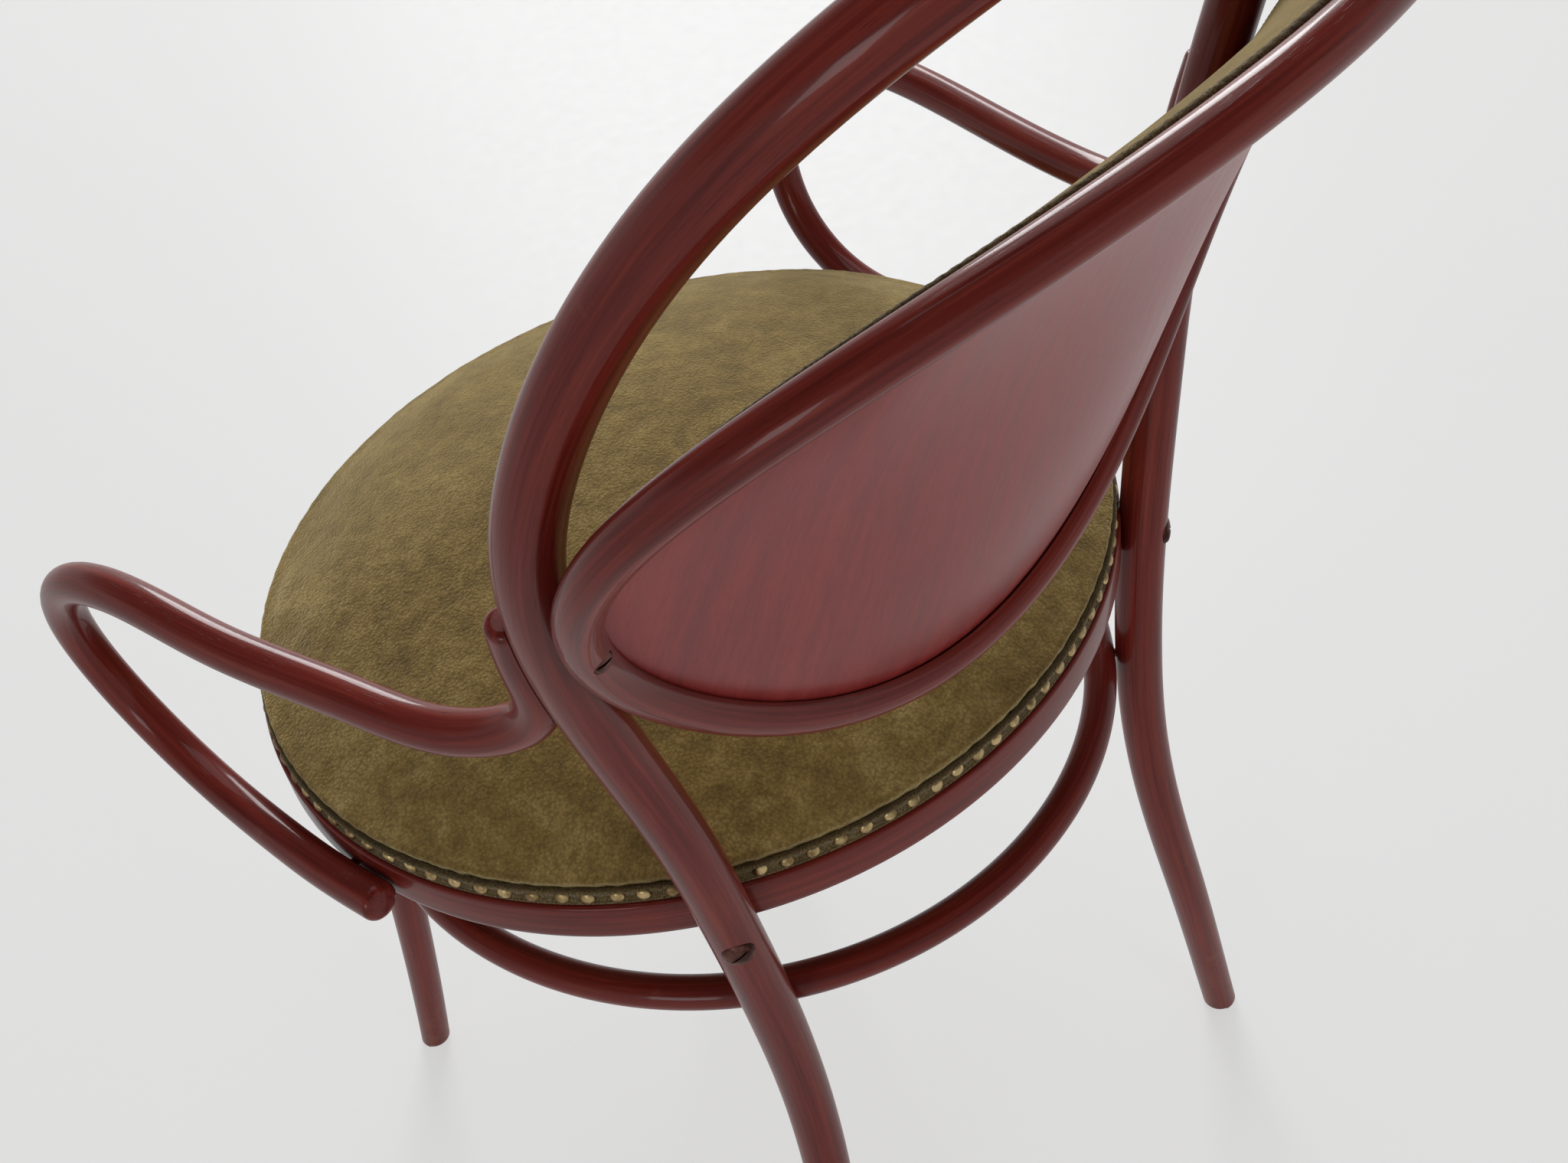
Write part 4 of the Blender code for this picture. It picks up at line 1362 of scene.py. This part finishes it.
@dataclass
class Arms:
    """A low loop on each side, scarfed to the post and lying along the rail."""

    measures: Measures
    hoop: Hoop
    tip_height: float = 0.6573
    tip_diameter: float = 0.0150
    tip_proud: float = 0.0078
    tip_round: float = 0.0035
    bend_height: float = 0.5949
    bend_proud: float = 0.0150
    scarf_room: Pair = (0.06, 0.03)
    approach: float = math.radians(35.0)
    level: float = 0.5660
    heel: Triple = (0.0133, -0.0332, 0.0062)
    hollow: Pair = (0.0253, -0.0920)
    elbow: Pair = (0.0110, -0.1640)
    spread: float = 0.0205
    reach: float = 0.152
    run_height: float = 0.008
    run_rise: float = 0.003
    run_front: float = -0.045
    run_back: float = 0.032
    beside: float = 0.01045
    turn: tuple[Triple, ...] = (
        (0.0045, 0.46, 0.00), (0.0000, 0.82, 0.14), (0.0015, 1.00, 0.45), (0.0065, 0.93, 0.78), (0.0100, 0.66, 0.99))
    points: int = 240

    def before_post(self, height: float, diameter: float, proud: float) -> np.ndarray:
        """Finds a point of the rod in front of the post.

        Args:
            height: The point's height.
            diameter: The arm's thickness there.
            proud: How far the arm stands out from the post.

        Returns:
            The point, set out round the seat's axis.
        """
        post = self.hoop.left_post - self.measures.placed(np.zeros(3))
        k = int(np.searchsorted(post[:, 2], height))
        point = np.array([np.interp(height, post[:, 2], post[:, i]) for i in range(3)])
        tangent = unit(post[k] - post[k - 1])
        side = np.array([math.sin(self.approach), -math.cos(self.approach), 0.0])
        reach = (self.measures.hoop_diameter - diameter) / 2 + proud
        return point + side * reach / math.sqrt(1 - (tangent @ side) ** 2)

    def beside_rail(self, y: float, height: float) -> np.ndarray:
        """Finds a point of the lower run, next to the rail.

        Args:
            y: How far behind the seat's axis the point lies.
            height: The point's height.

        Returns:
            The point, set out round the seat's axis.
        """
        m = self.measures
        behind = max(y, 0.0) / (m.rail_half_depth + self.beside)
        return np.array([(m.rail_half_width + self.beside) * math.sqrt(1 - behind**2), y, height])

    def path(self) -> np.ndarray:
        """Sets out the left arm.

        Returns:
            Its path, from its tip on the post to its end on the rail.
        """
        m = self.measures
        tip = self.before_post(self.tip_height, self.tip_diameter, self.tip_proud)
        bend = self.before_post(self.bend_height, m.arm_diameter, self.bend_proud)
        run = m.rail_low + self.run_height
        nose = m.rail_half_width + self.spread
        knots = [
            tip,
            (tip + bend) / 2,
            bend,
            (bend[0] + self.heel[0], bend[1] + self.heel[1], self.level + self.heel[2]),
            (nose - self.hollow[0], bend[1] + self.hollow[1], self.level),
            (nose - self.elbow[0], bend[1] + self.elbow[1], self.level),
            *((nose - a, -b * self.reach, self.level - c * (self.level - run)) for a, b, c in self.turn),
            self.beside_rail(self.run_front, run - self.run_rise),
            self.beside_rail((self.run_front + self.run_back) / 2, run),
            self.beside_rail(self.run_back, run + self.run_rise),
        ]
        return m.placed(eased(smooth_path(knots, self.points)))

    def build(self) -> None:
        """Bends both arms and fits their scarfs to the posts."""
        path = self.path()
        scarf = np.clip(distances(path) / (self.tip_height - self.bend_height), 0, 1)
        radii = (self.tip_diameter + (self.measures.arm_diameter - self.tip_diameter) * scarf) / 2
        low, high = self.bend_height - self.scarf_room[0], self.tip_height + self.scarf_room[1]
        for side in Side:
            rod = BentRod("arm_" + side.label + "_rod", side.mirror(path), radii, end_round=self.tip_round)
            piece = carve(rod.build(), [self.hoop.room(side, low, high)])
            rod.install(piece, "arm_" + side.label)


@dataclass
class Back:
    """The egg-shaped back ring, the dished board in its groove and the pad on the board's front."""

    measures: Measures
    hardware: Hardware
    half_width: float = 0.19964
    back: float = 0.19886
    low: float = 0.497
    height: float = 0.315
    egg: float = 0.27
    blunt: float = 0.065
    lean: float = 0.0508
    bow: float = 0.0698
    curl: float = 0.0210
    hollow: float = 0.0520
    ring_points: int = 420
    board_thickness: float = 0.0040
    board_grid: tuple[int, int] = (52, 72)
    board_grain: Pair = (1.0, 0.15)
    groove: float = 0.0030
    groove_play: float = 0.0006
    pad_thickness: float = 0.0220
    pad_fullness: float = 2.5
    pad_grid: tuple[int, int] = (96, 48)
    hold: float = 0.006
    hold_grid: tuple[int, int] = (50, 80)
    cord: TwistedCord = TwistedCord(radius=0.0017, pitch=0.0075)
    cord_rise: float = 0.0042
    cord_points: int = 900

    def slope(self, share: float) -> float:
        """The angle by which the back leans at a share from -1 at the bottom to 1 at the top."""
        run = self.lean + 2 * self.bow * share + 3 * self.curl * share**2
        return math.atan2(run, self.height / 2)

    def point(self, across: float, up: float, inset: float = 0.0, forward: float = 0.0) -> np.ndarray:
        """Finds a point of the back's curled and dished sheet, or in front of it.

        Args:
            across: From -1 to 1 between the ring's sides.
            up: From -1 to 1 between its bottom and top.
            inset: How far the ring's middle line is drawn in.
            forward: How far the point lies in front of the sheet.

        Returns:
            The point in the frame of the chair.
        """
        top = 1 - 2 * inset * math.cos(self.slope(1)) / self.height
        bottom = 2 * inset * math.cos(self.slope(-1)) / self.height - 1
        share = (top + bottom) / 2 + (top - bottom) / 2 * up
        slope = self.slope(share)
        width = (self.half_width - inset) * (1 + self.egg * up + self.blunt * up**2)
        back = self.back + self.lean * share + self.bow * share**2 + self.curl * share**3
        back += self.hollow * max(0.0, 1 - across**2 - up**2)
        height = self.low + self.height / 2 * (1 + share)
        place = (width * across, back - forward * math.cos(slope), height + forward * math.sin(slope))
        return self.measures.placed(np.array(place))

    def outline(self, count: int, inset: float = 0.0, forward: float = 0.0) -> np.ndarray:
        """Points round the back, its ring's middle line unless an inset is given."""
        turns = round_turn(count) + math.pi * 1.5
        return np.array([self.point(math.sin(a), -math.cos(a), inset, forward) for a in turns])

    def sheet(self, name: str, inset: float, thickness: float) -> Piece:
        """Makes a panel on the back's sheet: a square grid drawn out to the oval.

        Args:
            name: The panel's name.
            inset: How far it stays inside the ring's middle line.
            thickness: How thick it is, evenly to both sides of the sheet.

        Returns:
            The panel.
        """
        bm = bmesh.new()
        columns, rows = self.board_grid
        bmesh.ops.create_grid(bm, x_segments=columns, y_segments=rows, size=1.0)
        for corner in bm.verts:
            a, b = corner.co.x, corner.co.y
            corner.co = self.point(a * math.sqrt(1 - b * b / 2), b * math.sqrt(1 - a * a / 2), inset)
        piece = add_piece(name, bm)
        modifier = piece.modifiers.new("thickness", "SOLIDIFY")
        modifier.thickness = thickness
        modifier.offset = 0.0
        return settle(piece)

    def ring(self) -> None:
        """Bends the ring, ploughs its groove and sinks its screw heads."""
        m = self.measures
        path = self.outline(self.ring_points)
        rod = BentRod("ring", path, np.full(len(path), m.ring_diameter / 2), closed=True)
        inset = m.ring_diameter / 2 - self.groove - self.groove_play
        room = self.sheet("groove", inset, self.board_thickness + 2 * self.groove_play)
        piece = carve(rod.build(), [room, *self.hardware.recesses(m.gap, "back_bolt")])
        rod.install(piece, "back_ring")

    def board(self) -> None:
        """Presses the board to its dish, with an upright grain."""
        piece = self.sheet("board", self.measures.ring_diameter / 2 - self.groove, self.board_thickness)
        points = points_of(piece.data)
        along = np.column_stack([points[:, 2], np.zeros(len(points))])
        write_grain(piece.data, along, points[:, :2] * np.array(self.board_grain))
        install(piece, VENEER, "back_board")

    def pad(self) -> None:
        """Stuffs the pad and lays a cord round its edge."""
        bm = bmesh.new()
        columns, rows = self.pad_grid
        bmesh.ops.create_uvsphere(bm, u_segments=columns, v_segments=rows, radius=1.0)
        inset = self.measures.ring_diameter / 2 + 2 * self.measures.gap
        seat = self.board_thickness / 2 + 2 * self.measures.gap
        for corner in bm.verts:
            x, y, z = corner.co
            flat = math.hypot(x, y)
            grow = flat ** (2 / self.pad_fullness) / flat if flat > WELD else 0.0
            rise = max(z, 0.0) ** (2 / self.pad_fullness)
            depth = seat + (self.pad_thickness - seat) * rise
            corner.co = self.point(x * grow, y * grow, inset, depth)
        piece = add_piece("pad", bm)
        steps, turns = self.hold_grid
        behind = tree_of(np.array([
            self.point(share * math.sin(a), share * math.cos(a), inset, seat)
            for share in np.linspace(0.0, 1.0, steps) for a in round_turn(turns)]))

        def held(points: np.ndarray) -> np.ndarray:
            """Whether each point lies on the board or at the pad's edge."""
            return np.array([behind.find(point)[2] < self.hold for point in points])

        SWELL.fill(piece, held)
        install(piece, PLUSH, "back_pad")
        edge = self.outline(self.cord_points, inset + self.cord.radius, seat + self.cord_rise)
        install(self.cord.build("pad_cord", edge), GIMP)

    def build(self) -> None:
        """Makes the ring, the board and the pad."""
        self.ring()
        self.board()
        self.pad()


@dataclass
class SeatUpholstery:
    """The domed seat cushion, the braid round its foot and the nails that hold the braid."""

    measures: Measures
    trim_outer: float = 0.2268
    trim_thickness: float = 0.0024
    trim_height: float = 0.0090
    wall: float = 0.0150
    crown: float = 0.0460
    slack: float = 0.0080
    bulge: float = 0.0024
    dome_share: float = 0.985
    dome_rings: int = 34
    roll: Pair = (0.996, 0.012)
    tuck: Pair = (0.9985, 0.003)
    crease: float = 0.001
    base_rings: int = 12
    lip_play: float = 0.002
    segments: int = 144
    pucker: float = 0.0006
    pucker_reach: float = 0.013
    pucker_level: float = 0.6
    pucker_shift: float = 0.9
    pucker_depths: Pair = (0.35, 1.0)
    lump: float = 0.00035
    lump_count: int = 7
    lump_sizes: Pair = (0.5, 1.0)
    lump_waves: float = 26.0
    lump_shift: float = 6.28
    lump_heights: Pair = (0.004, 0.02)
    braid_ease: float = 0.0007
    braid_waves: float = 0.0004
    braid_skin: float = 0.0005
    braid_rows: int = 13
    rib_depth: float = 0.00022
    rib_slant: float = 900 * math.pi
    ribs_per_nail: int = 6
    edge: TwistedCord = TwistedCord(radius=0.0011, pitch=0.0050, strands=2, sides=12)
    edge_sunk: float = 0.0008
    edge_points: int = 1400
    nail_pitch: float = 0.0125
    nail_radius: float = 0.0035
    nail_height: float = 0.0019
    nail_under: Pair = (0.8, -0.0004)
    nail_sunk: float = 0.0007
    nail_play: float = 0.06
    nail_drift: float = 0.0003
    nail_tilt: float = 0.05
    nail_rings: int = 6
    nail_sides: int = 14
    plan_points: int = 2000
    seed: int = 7

    def __post_init__(self) -> None:
        """Works out the heights that the pieces share."""
        m = self.measures
        self.base = m.rail_top + m.gap
        self.wall_radius = self.trim_outer - self.trim_thickness - m.gap
        self.lip = self.base + self.trim_height + m.gap

    @property
    def nail_count(self) -> int:
        """How many nails go round the seat."""
        a, b = self.trim_outer, self.trim_outer * self.measures.ratio
        return round(FULL_TURN * math.sqrt((a * a + b * b) / 2) / self.nail_pitch)

    def held(self, points: np.ndarray) -> np.ndarray:
        """Whether each point of the cushion lies behind the braid or just above it."""
        return points[:, 2] < self.lip + self.lip_play

    def cushion(self) -> None:
        """Stuffs the cushion and draws its cover in between the nails."""
        m = self.measures
        wall, lip = self.wall_radius, self.lip
        shoulder = self.base + self.wall
        bulge = wall + self.bulge
        crown = self.crown - self.slack
        shares = np.sin(np.linspace(0, math.pi / 2, self.dome_rings)) * self.dome_share
        profile = [
            *((bulge * share, shoulder + crown * (1 - share**2)) for share in shares),
            (bulge * self.roll[0], shoulder + crown * self.roll[1]),
            (bulge, shoulder - self.crease),
            (bulge * self.tuck[0], shoulder - self.tuck[1]),
            (wall, lip),
            (wall, lip - self.crease),
            (wall, self.base + self.crease),
            *((wall * share, self.base) for share in np.linspace(1.0, 0.0, self.base_rings)),
        ]
        piece = m.seated("cushion", turned(profile, self.segments, ratio=m.ratio))
        SWELL.fill(piece, self.held)
        self.draw_in(piece.data)
        piece.data.shade_smooth()
        install(piece, PLUSH, "seat_cushion")

    def draw_in(self, mesh: bpy.types.Mesh) -> None:
        """Brings the crown to its height and presses small puckers into the cover above each nail.

        Args:
            mesh: The swollen cushion.
        """
        m = self.measures
        points = points_of(mesh)
        goal = self.base + self.wall + self.crown
        rise = (goal - self.lip) / (points[:, 2].max() - self.lip)
        above = points[:, 2] > self.lip
        points[above, 2] = self.lip + (points[above, 2] - self.lip) * rise
        move_points(mesh, points)
        normals = np.array([normal.vector for normal in mesh.vertex_normals])
        rng = np.random.default_rng(self.seed)
        turn = np.arctan2(points[:, 0], (points[:, 1] - m.seat_axis) / m.ratio)
        count = self.nail_count
        phase = rng.uniform(-self.pucker_shift, self.pucker_shift, count)
        depth = rng.uniform(*self.pucker_depths, count)
        place = (turn / FULL_TURN % 1.0) * count
        near = np.floor(place).astype(int) % count
        fold = np.cos(FULL_TURN * place + phase[near]) * depth[near]
        share = np.clip((points[:, 2] - self.lip) / self.pucker_reach, 0, 1)
        fade = np.where(points[:, 2] > self.lip - self.lip_play, (1 - share) ** 2, 0.0)
        lumps = sum(
            rng.uniform(*self.lump_sizes)
            * np.sin(points @ rng.normal(0, self.lump_waves, 3) + rng.uniform(0, self.lump_shift))
            for _ in range(self.lump_count))
        start, reach = self.lump_heights
        soft = np.clip((points[:, 2] - self.lip - start) / reach, 0, 1)
        push = -self.pucker * fade * (self.pucker_level + fold) + self.lump * soft * lumps
        move_points(mesh, points + normals * push[:, None])

    def braid(self) -> None:
        """Weaves the braid: a ribbed band between two corded edges."""
        m = self.measures
        inner, outer, low = self.wall_radius + m.gap, self.trim_outer, self.base
        high = low + self.trim_height
        ease = self.braid_ease
        face = [(outer - ease - self.braid_waves * math.cos(4 * math.pi * share), low + self.trim_height * share)
                for share in np.linspace(0.1, 0.9, self.braid_rows)]
        profile = [(inner, low), (outer - ease, low), *face, (outer - ease, high), (inner, high)]
        bm = turned(profile, 2 * self.segments, closed=True, ratio=m.ratio)
        ribs = self.nail_count * self.ribs_per_nail
        for corner in bm.verts:
            x, y, z = corner.co.x, corner.co.y / m.ratio, corner.co.z
            if low + ease < z < high - ease and math.hypot(x, y) > inner + self.braid_skin:
                swing = self.rib_depth * math.cos(ribs * math.atan2(x, y) + self.rib_slant * (z - low))
                corner.co.x *= 1 + swing / outer
                corner.co.y *= 1 + swing / outer
        install(m.seated("braid", bm), GIMP, "seat_trim")
        for label, height in (("low", low + self.edge.radius), ("high", high - self.edge.radius)):
            path = m.loop(outer - self.edge_sunk, height, self.edge_points)
            install(self.edge.build("braid_edge_" + label, path), GIMP)

    def nails(self) -> None:
        """Drives a row of domed nails through the middle of the braid."""
        m = self.measures
        rng = np.random.default_rng(self.seed)
        bm = bmesh.new()
        count = self.nail_count
        dense = np.linspace(0, FULL_TURN, self.plan_points)
        along = distances(np.array([m.oval(self.trim_outer, angle) for angle in dense]))
        under, below = self.nail_under
        profile = dome(self.nail_radius, self.nail_height, 0.0, self.nail_rings)
        profile += [(self.nail_radius * under, below), (0.0, below)]
        for k in range(count):
            spot = along[-1] * (k + rng.uniform(-self.nail_play, self.nail_play)) / count
            angle = float(np.interp(spot, along, dense))
            normal = np.array([*m.oval_normal(angle), 0.0])
            seat = np.array([*m.oval(self.trim_outer, angle), self.base + self.trim_height / 2])
            drift = rng.uniform(-self.nail_drift, self.nail_drift)
            seat += np.array([0.0, m.seat_axis, drift]) - normal * self.nail_sunk
            tilt = Vector(normal + rng.normal(0, self.nail_tilt, 3)).normalized()
            turn = UP.rotation_difference(tilt).to_matrix().to_4x4()
            head = turned(profile, self.nail_sides)
            bmesh.ops.transform(head, matrix=Matrix.Translation(Vector(seat)) @ turn, verts=head.verts)
            spare = bpy.data.meshes.new("nail")
            head.to_mesh(spare)
            head.free()
            bm.from_mesh(spare)
            bpy.data.meshes.remove(spare)
        install(add_piece("nails", bm), BRASS)

    def build(self) -> None:
        """Makes the cushion, the braid and the nails."""
        self.cushion()
        self.braid()
        self.nails()


# Studio
@dataclass(frozen=True)
class Lamp:
    """A soft square lamp: where it hangs, the length of its side, its watts and whether polished wood shows it."""

    name: str
    place: Triple
    size: float
    power: float
    glossy: bool = True

    def hang(self, aim: Triple) -> None:
        """Hangs the lamp.

        Args:
            aim: The point that it faces.
        """
        data = bpy.data.lights.new(self.name, "AREA")
        data.shape = "SQUARE"
        data.size = self.size
        data.energy = self.power
        lamp = bpy.data.objects.new(self.name, data)
        lamp.visible_camera = False
        lamp.visible_glossy = self.glossy
        lamp.location = self.place
        lamp.rotation_euler = (Vector(aim) - Vector(self.place)).to_track_quat("-Z", "Y").to_euler()
        bpy.context.scene.collection.objects.link(lamp)


@dataclass
class Studio:
    """A pale floor, soft light and a camera at the photograph's angle."""

    camera_place: Triple = (0.44201, 0.51669, 1.10523)
    camera_right: Triple = (-0.66453, 0.73457, -0.13713)
    camera_down: Triple = (0.58371, 0.39570, -0.70902)
    camera_clip: Pair = (0.02, 100.0)
    focal_pixels: float = 2552.65
    frame_width: int = 2048
    sensor: float = 36.0
    floor_size: float = 200.0
    floor_grid: int = 8
    sky_colour: Colour = (0.995, 1.000, 1.000)
    room: tuple[Pair, ...] = ((-1.0, 0.60), (0.0, 0.652), (0.16, 0.78), (0.38, 0.17), (1.0, 0.10))
    aim: Triple = (0.0, 0.0, 0.45)
    lamps: tuple[Lamp, ...] = (
        Lamp("overhead", (-0.6, -0.6, 3.3), 2.4, 27.0),
        Lamp("window", (-3.52, -3.84, 2.77), 2.4, 246.0),
        Lamp("left_fill", (4.4, 1.95, 1.35), 1.4, 26.0),
        Lamp("rear_fill", (0.3, 4.6, 2.3), 1.8, 28.0, glossy=False),
    )

    def camera(self) -> None:
        """Sets the camera where the photograph was taken."""
        data = bpy.data.cameras.new("camera")
        data.sensor_width = self.sensor
        data.lens = self.focal_pixels * self.sensor / self.frame_width
        data.clip_start, data.clip_end = self.camera_clip
        right, up = Vector(self.camera_right).normalized(), -Vector(self.camera_down).normalized()
        turn = Matrix((right, up, right.cross(up))).transposed().to_4x4()
        camera = bpy.data.objects.new("camera", data)
        camera.matrix_world = Matrix.Translation(Vector(self.camera_place)) @ turn
        bpy.context.scene.collection.objects.link(camera)
        bpy.context.scene.camera = camera

    def floor(self) -> None:
        """Lays the floor."""
        bm = bmesh.new()
        bmesh.ops.create_grid(bm, x_segments=self.floor_grid, y_segments=self.floor_grid, size=self.floor_size / 2)
        floor = add_piece("floor", bm)
        floor.data.materials.append(FLOOR.material())

    def world(self) -> None:
        """Makes a room that is pale at eye level and dimmer overhead."""
        world = bpy.data.worlds.new("room")
        bpy.context.scene.world = world
        world.use_nodes = True
        n = Nodes(world.node_tree)
        height = n.node("SeparateXYZ", {0: n.node("TexCoord").outputs["Generated"]}).outputs["Z"]
        stops = [((place + 1) / 2, tuple(level * value for value in self.sky_colour)) for place, level in self.room]
        colour = n.ramp(n.band(height, source=(-1.0, 1.0)), *stops)
        n.put(n.tree.nodes["Background"].inputs["Color"], colour)

    def build(self) -> None:
        """Sets up the whole studio."""
        bpy.context.scene.view_settings.view_transform = "Standard"
        self.camera()
        self.floor()
        self.world()
        for lamp in self.lamps:
            lamp.hang(self.aim)


def main() -> None:
    """Builds the chair's sub-assemblies in order."""
    logging.basicConfig(level=logging.INFO, format="%(name)s %(message)s")
    low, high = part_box("seat_rail")
    measures = Measures(seat_axis=(low.y + high.y) / 2)
    hardware = Hardware()
    hoop = Hoop(measures, hardware)
    notches = hoop.notches()
    hoop.build()
    SeatFrame(measures, hardware).build(notches)
    Arms(measures, hoop).build()
    Back(measures, hardware).build()
    SeatUpholstery(measures).build()
    hardware.build()
    Studio().build()


if __name__ == "__main__":
    main()
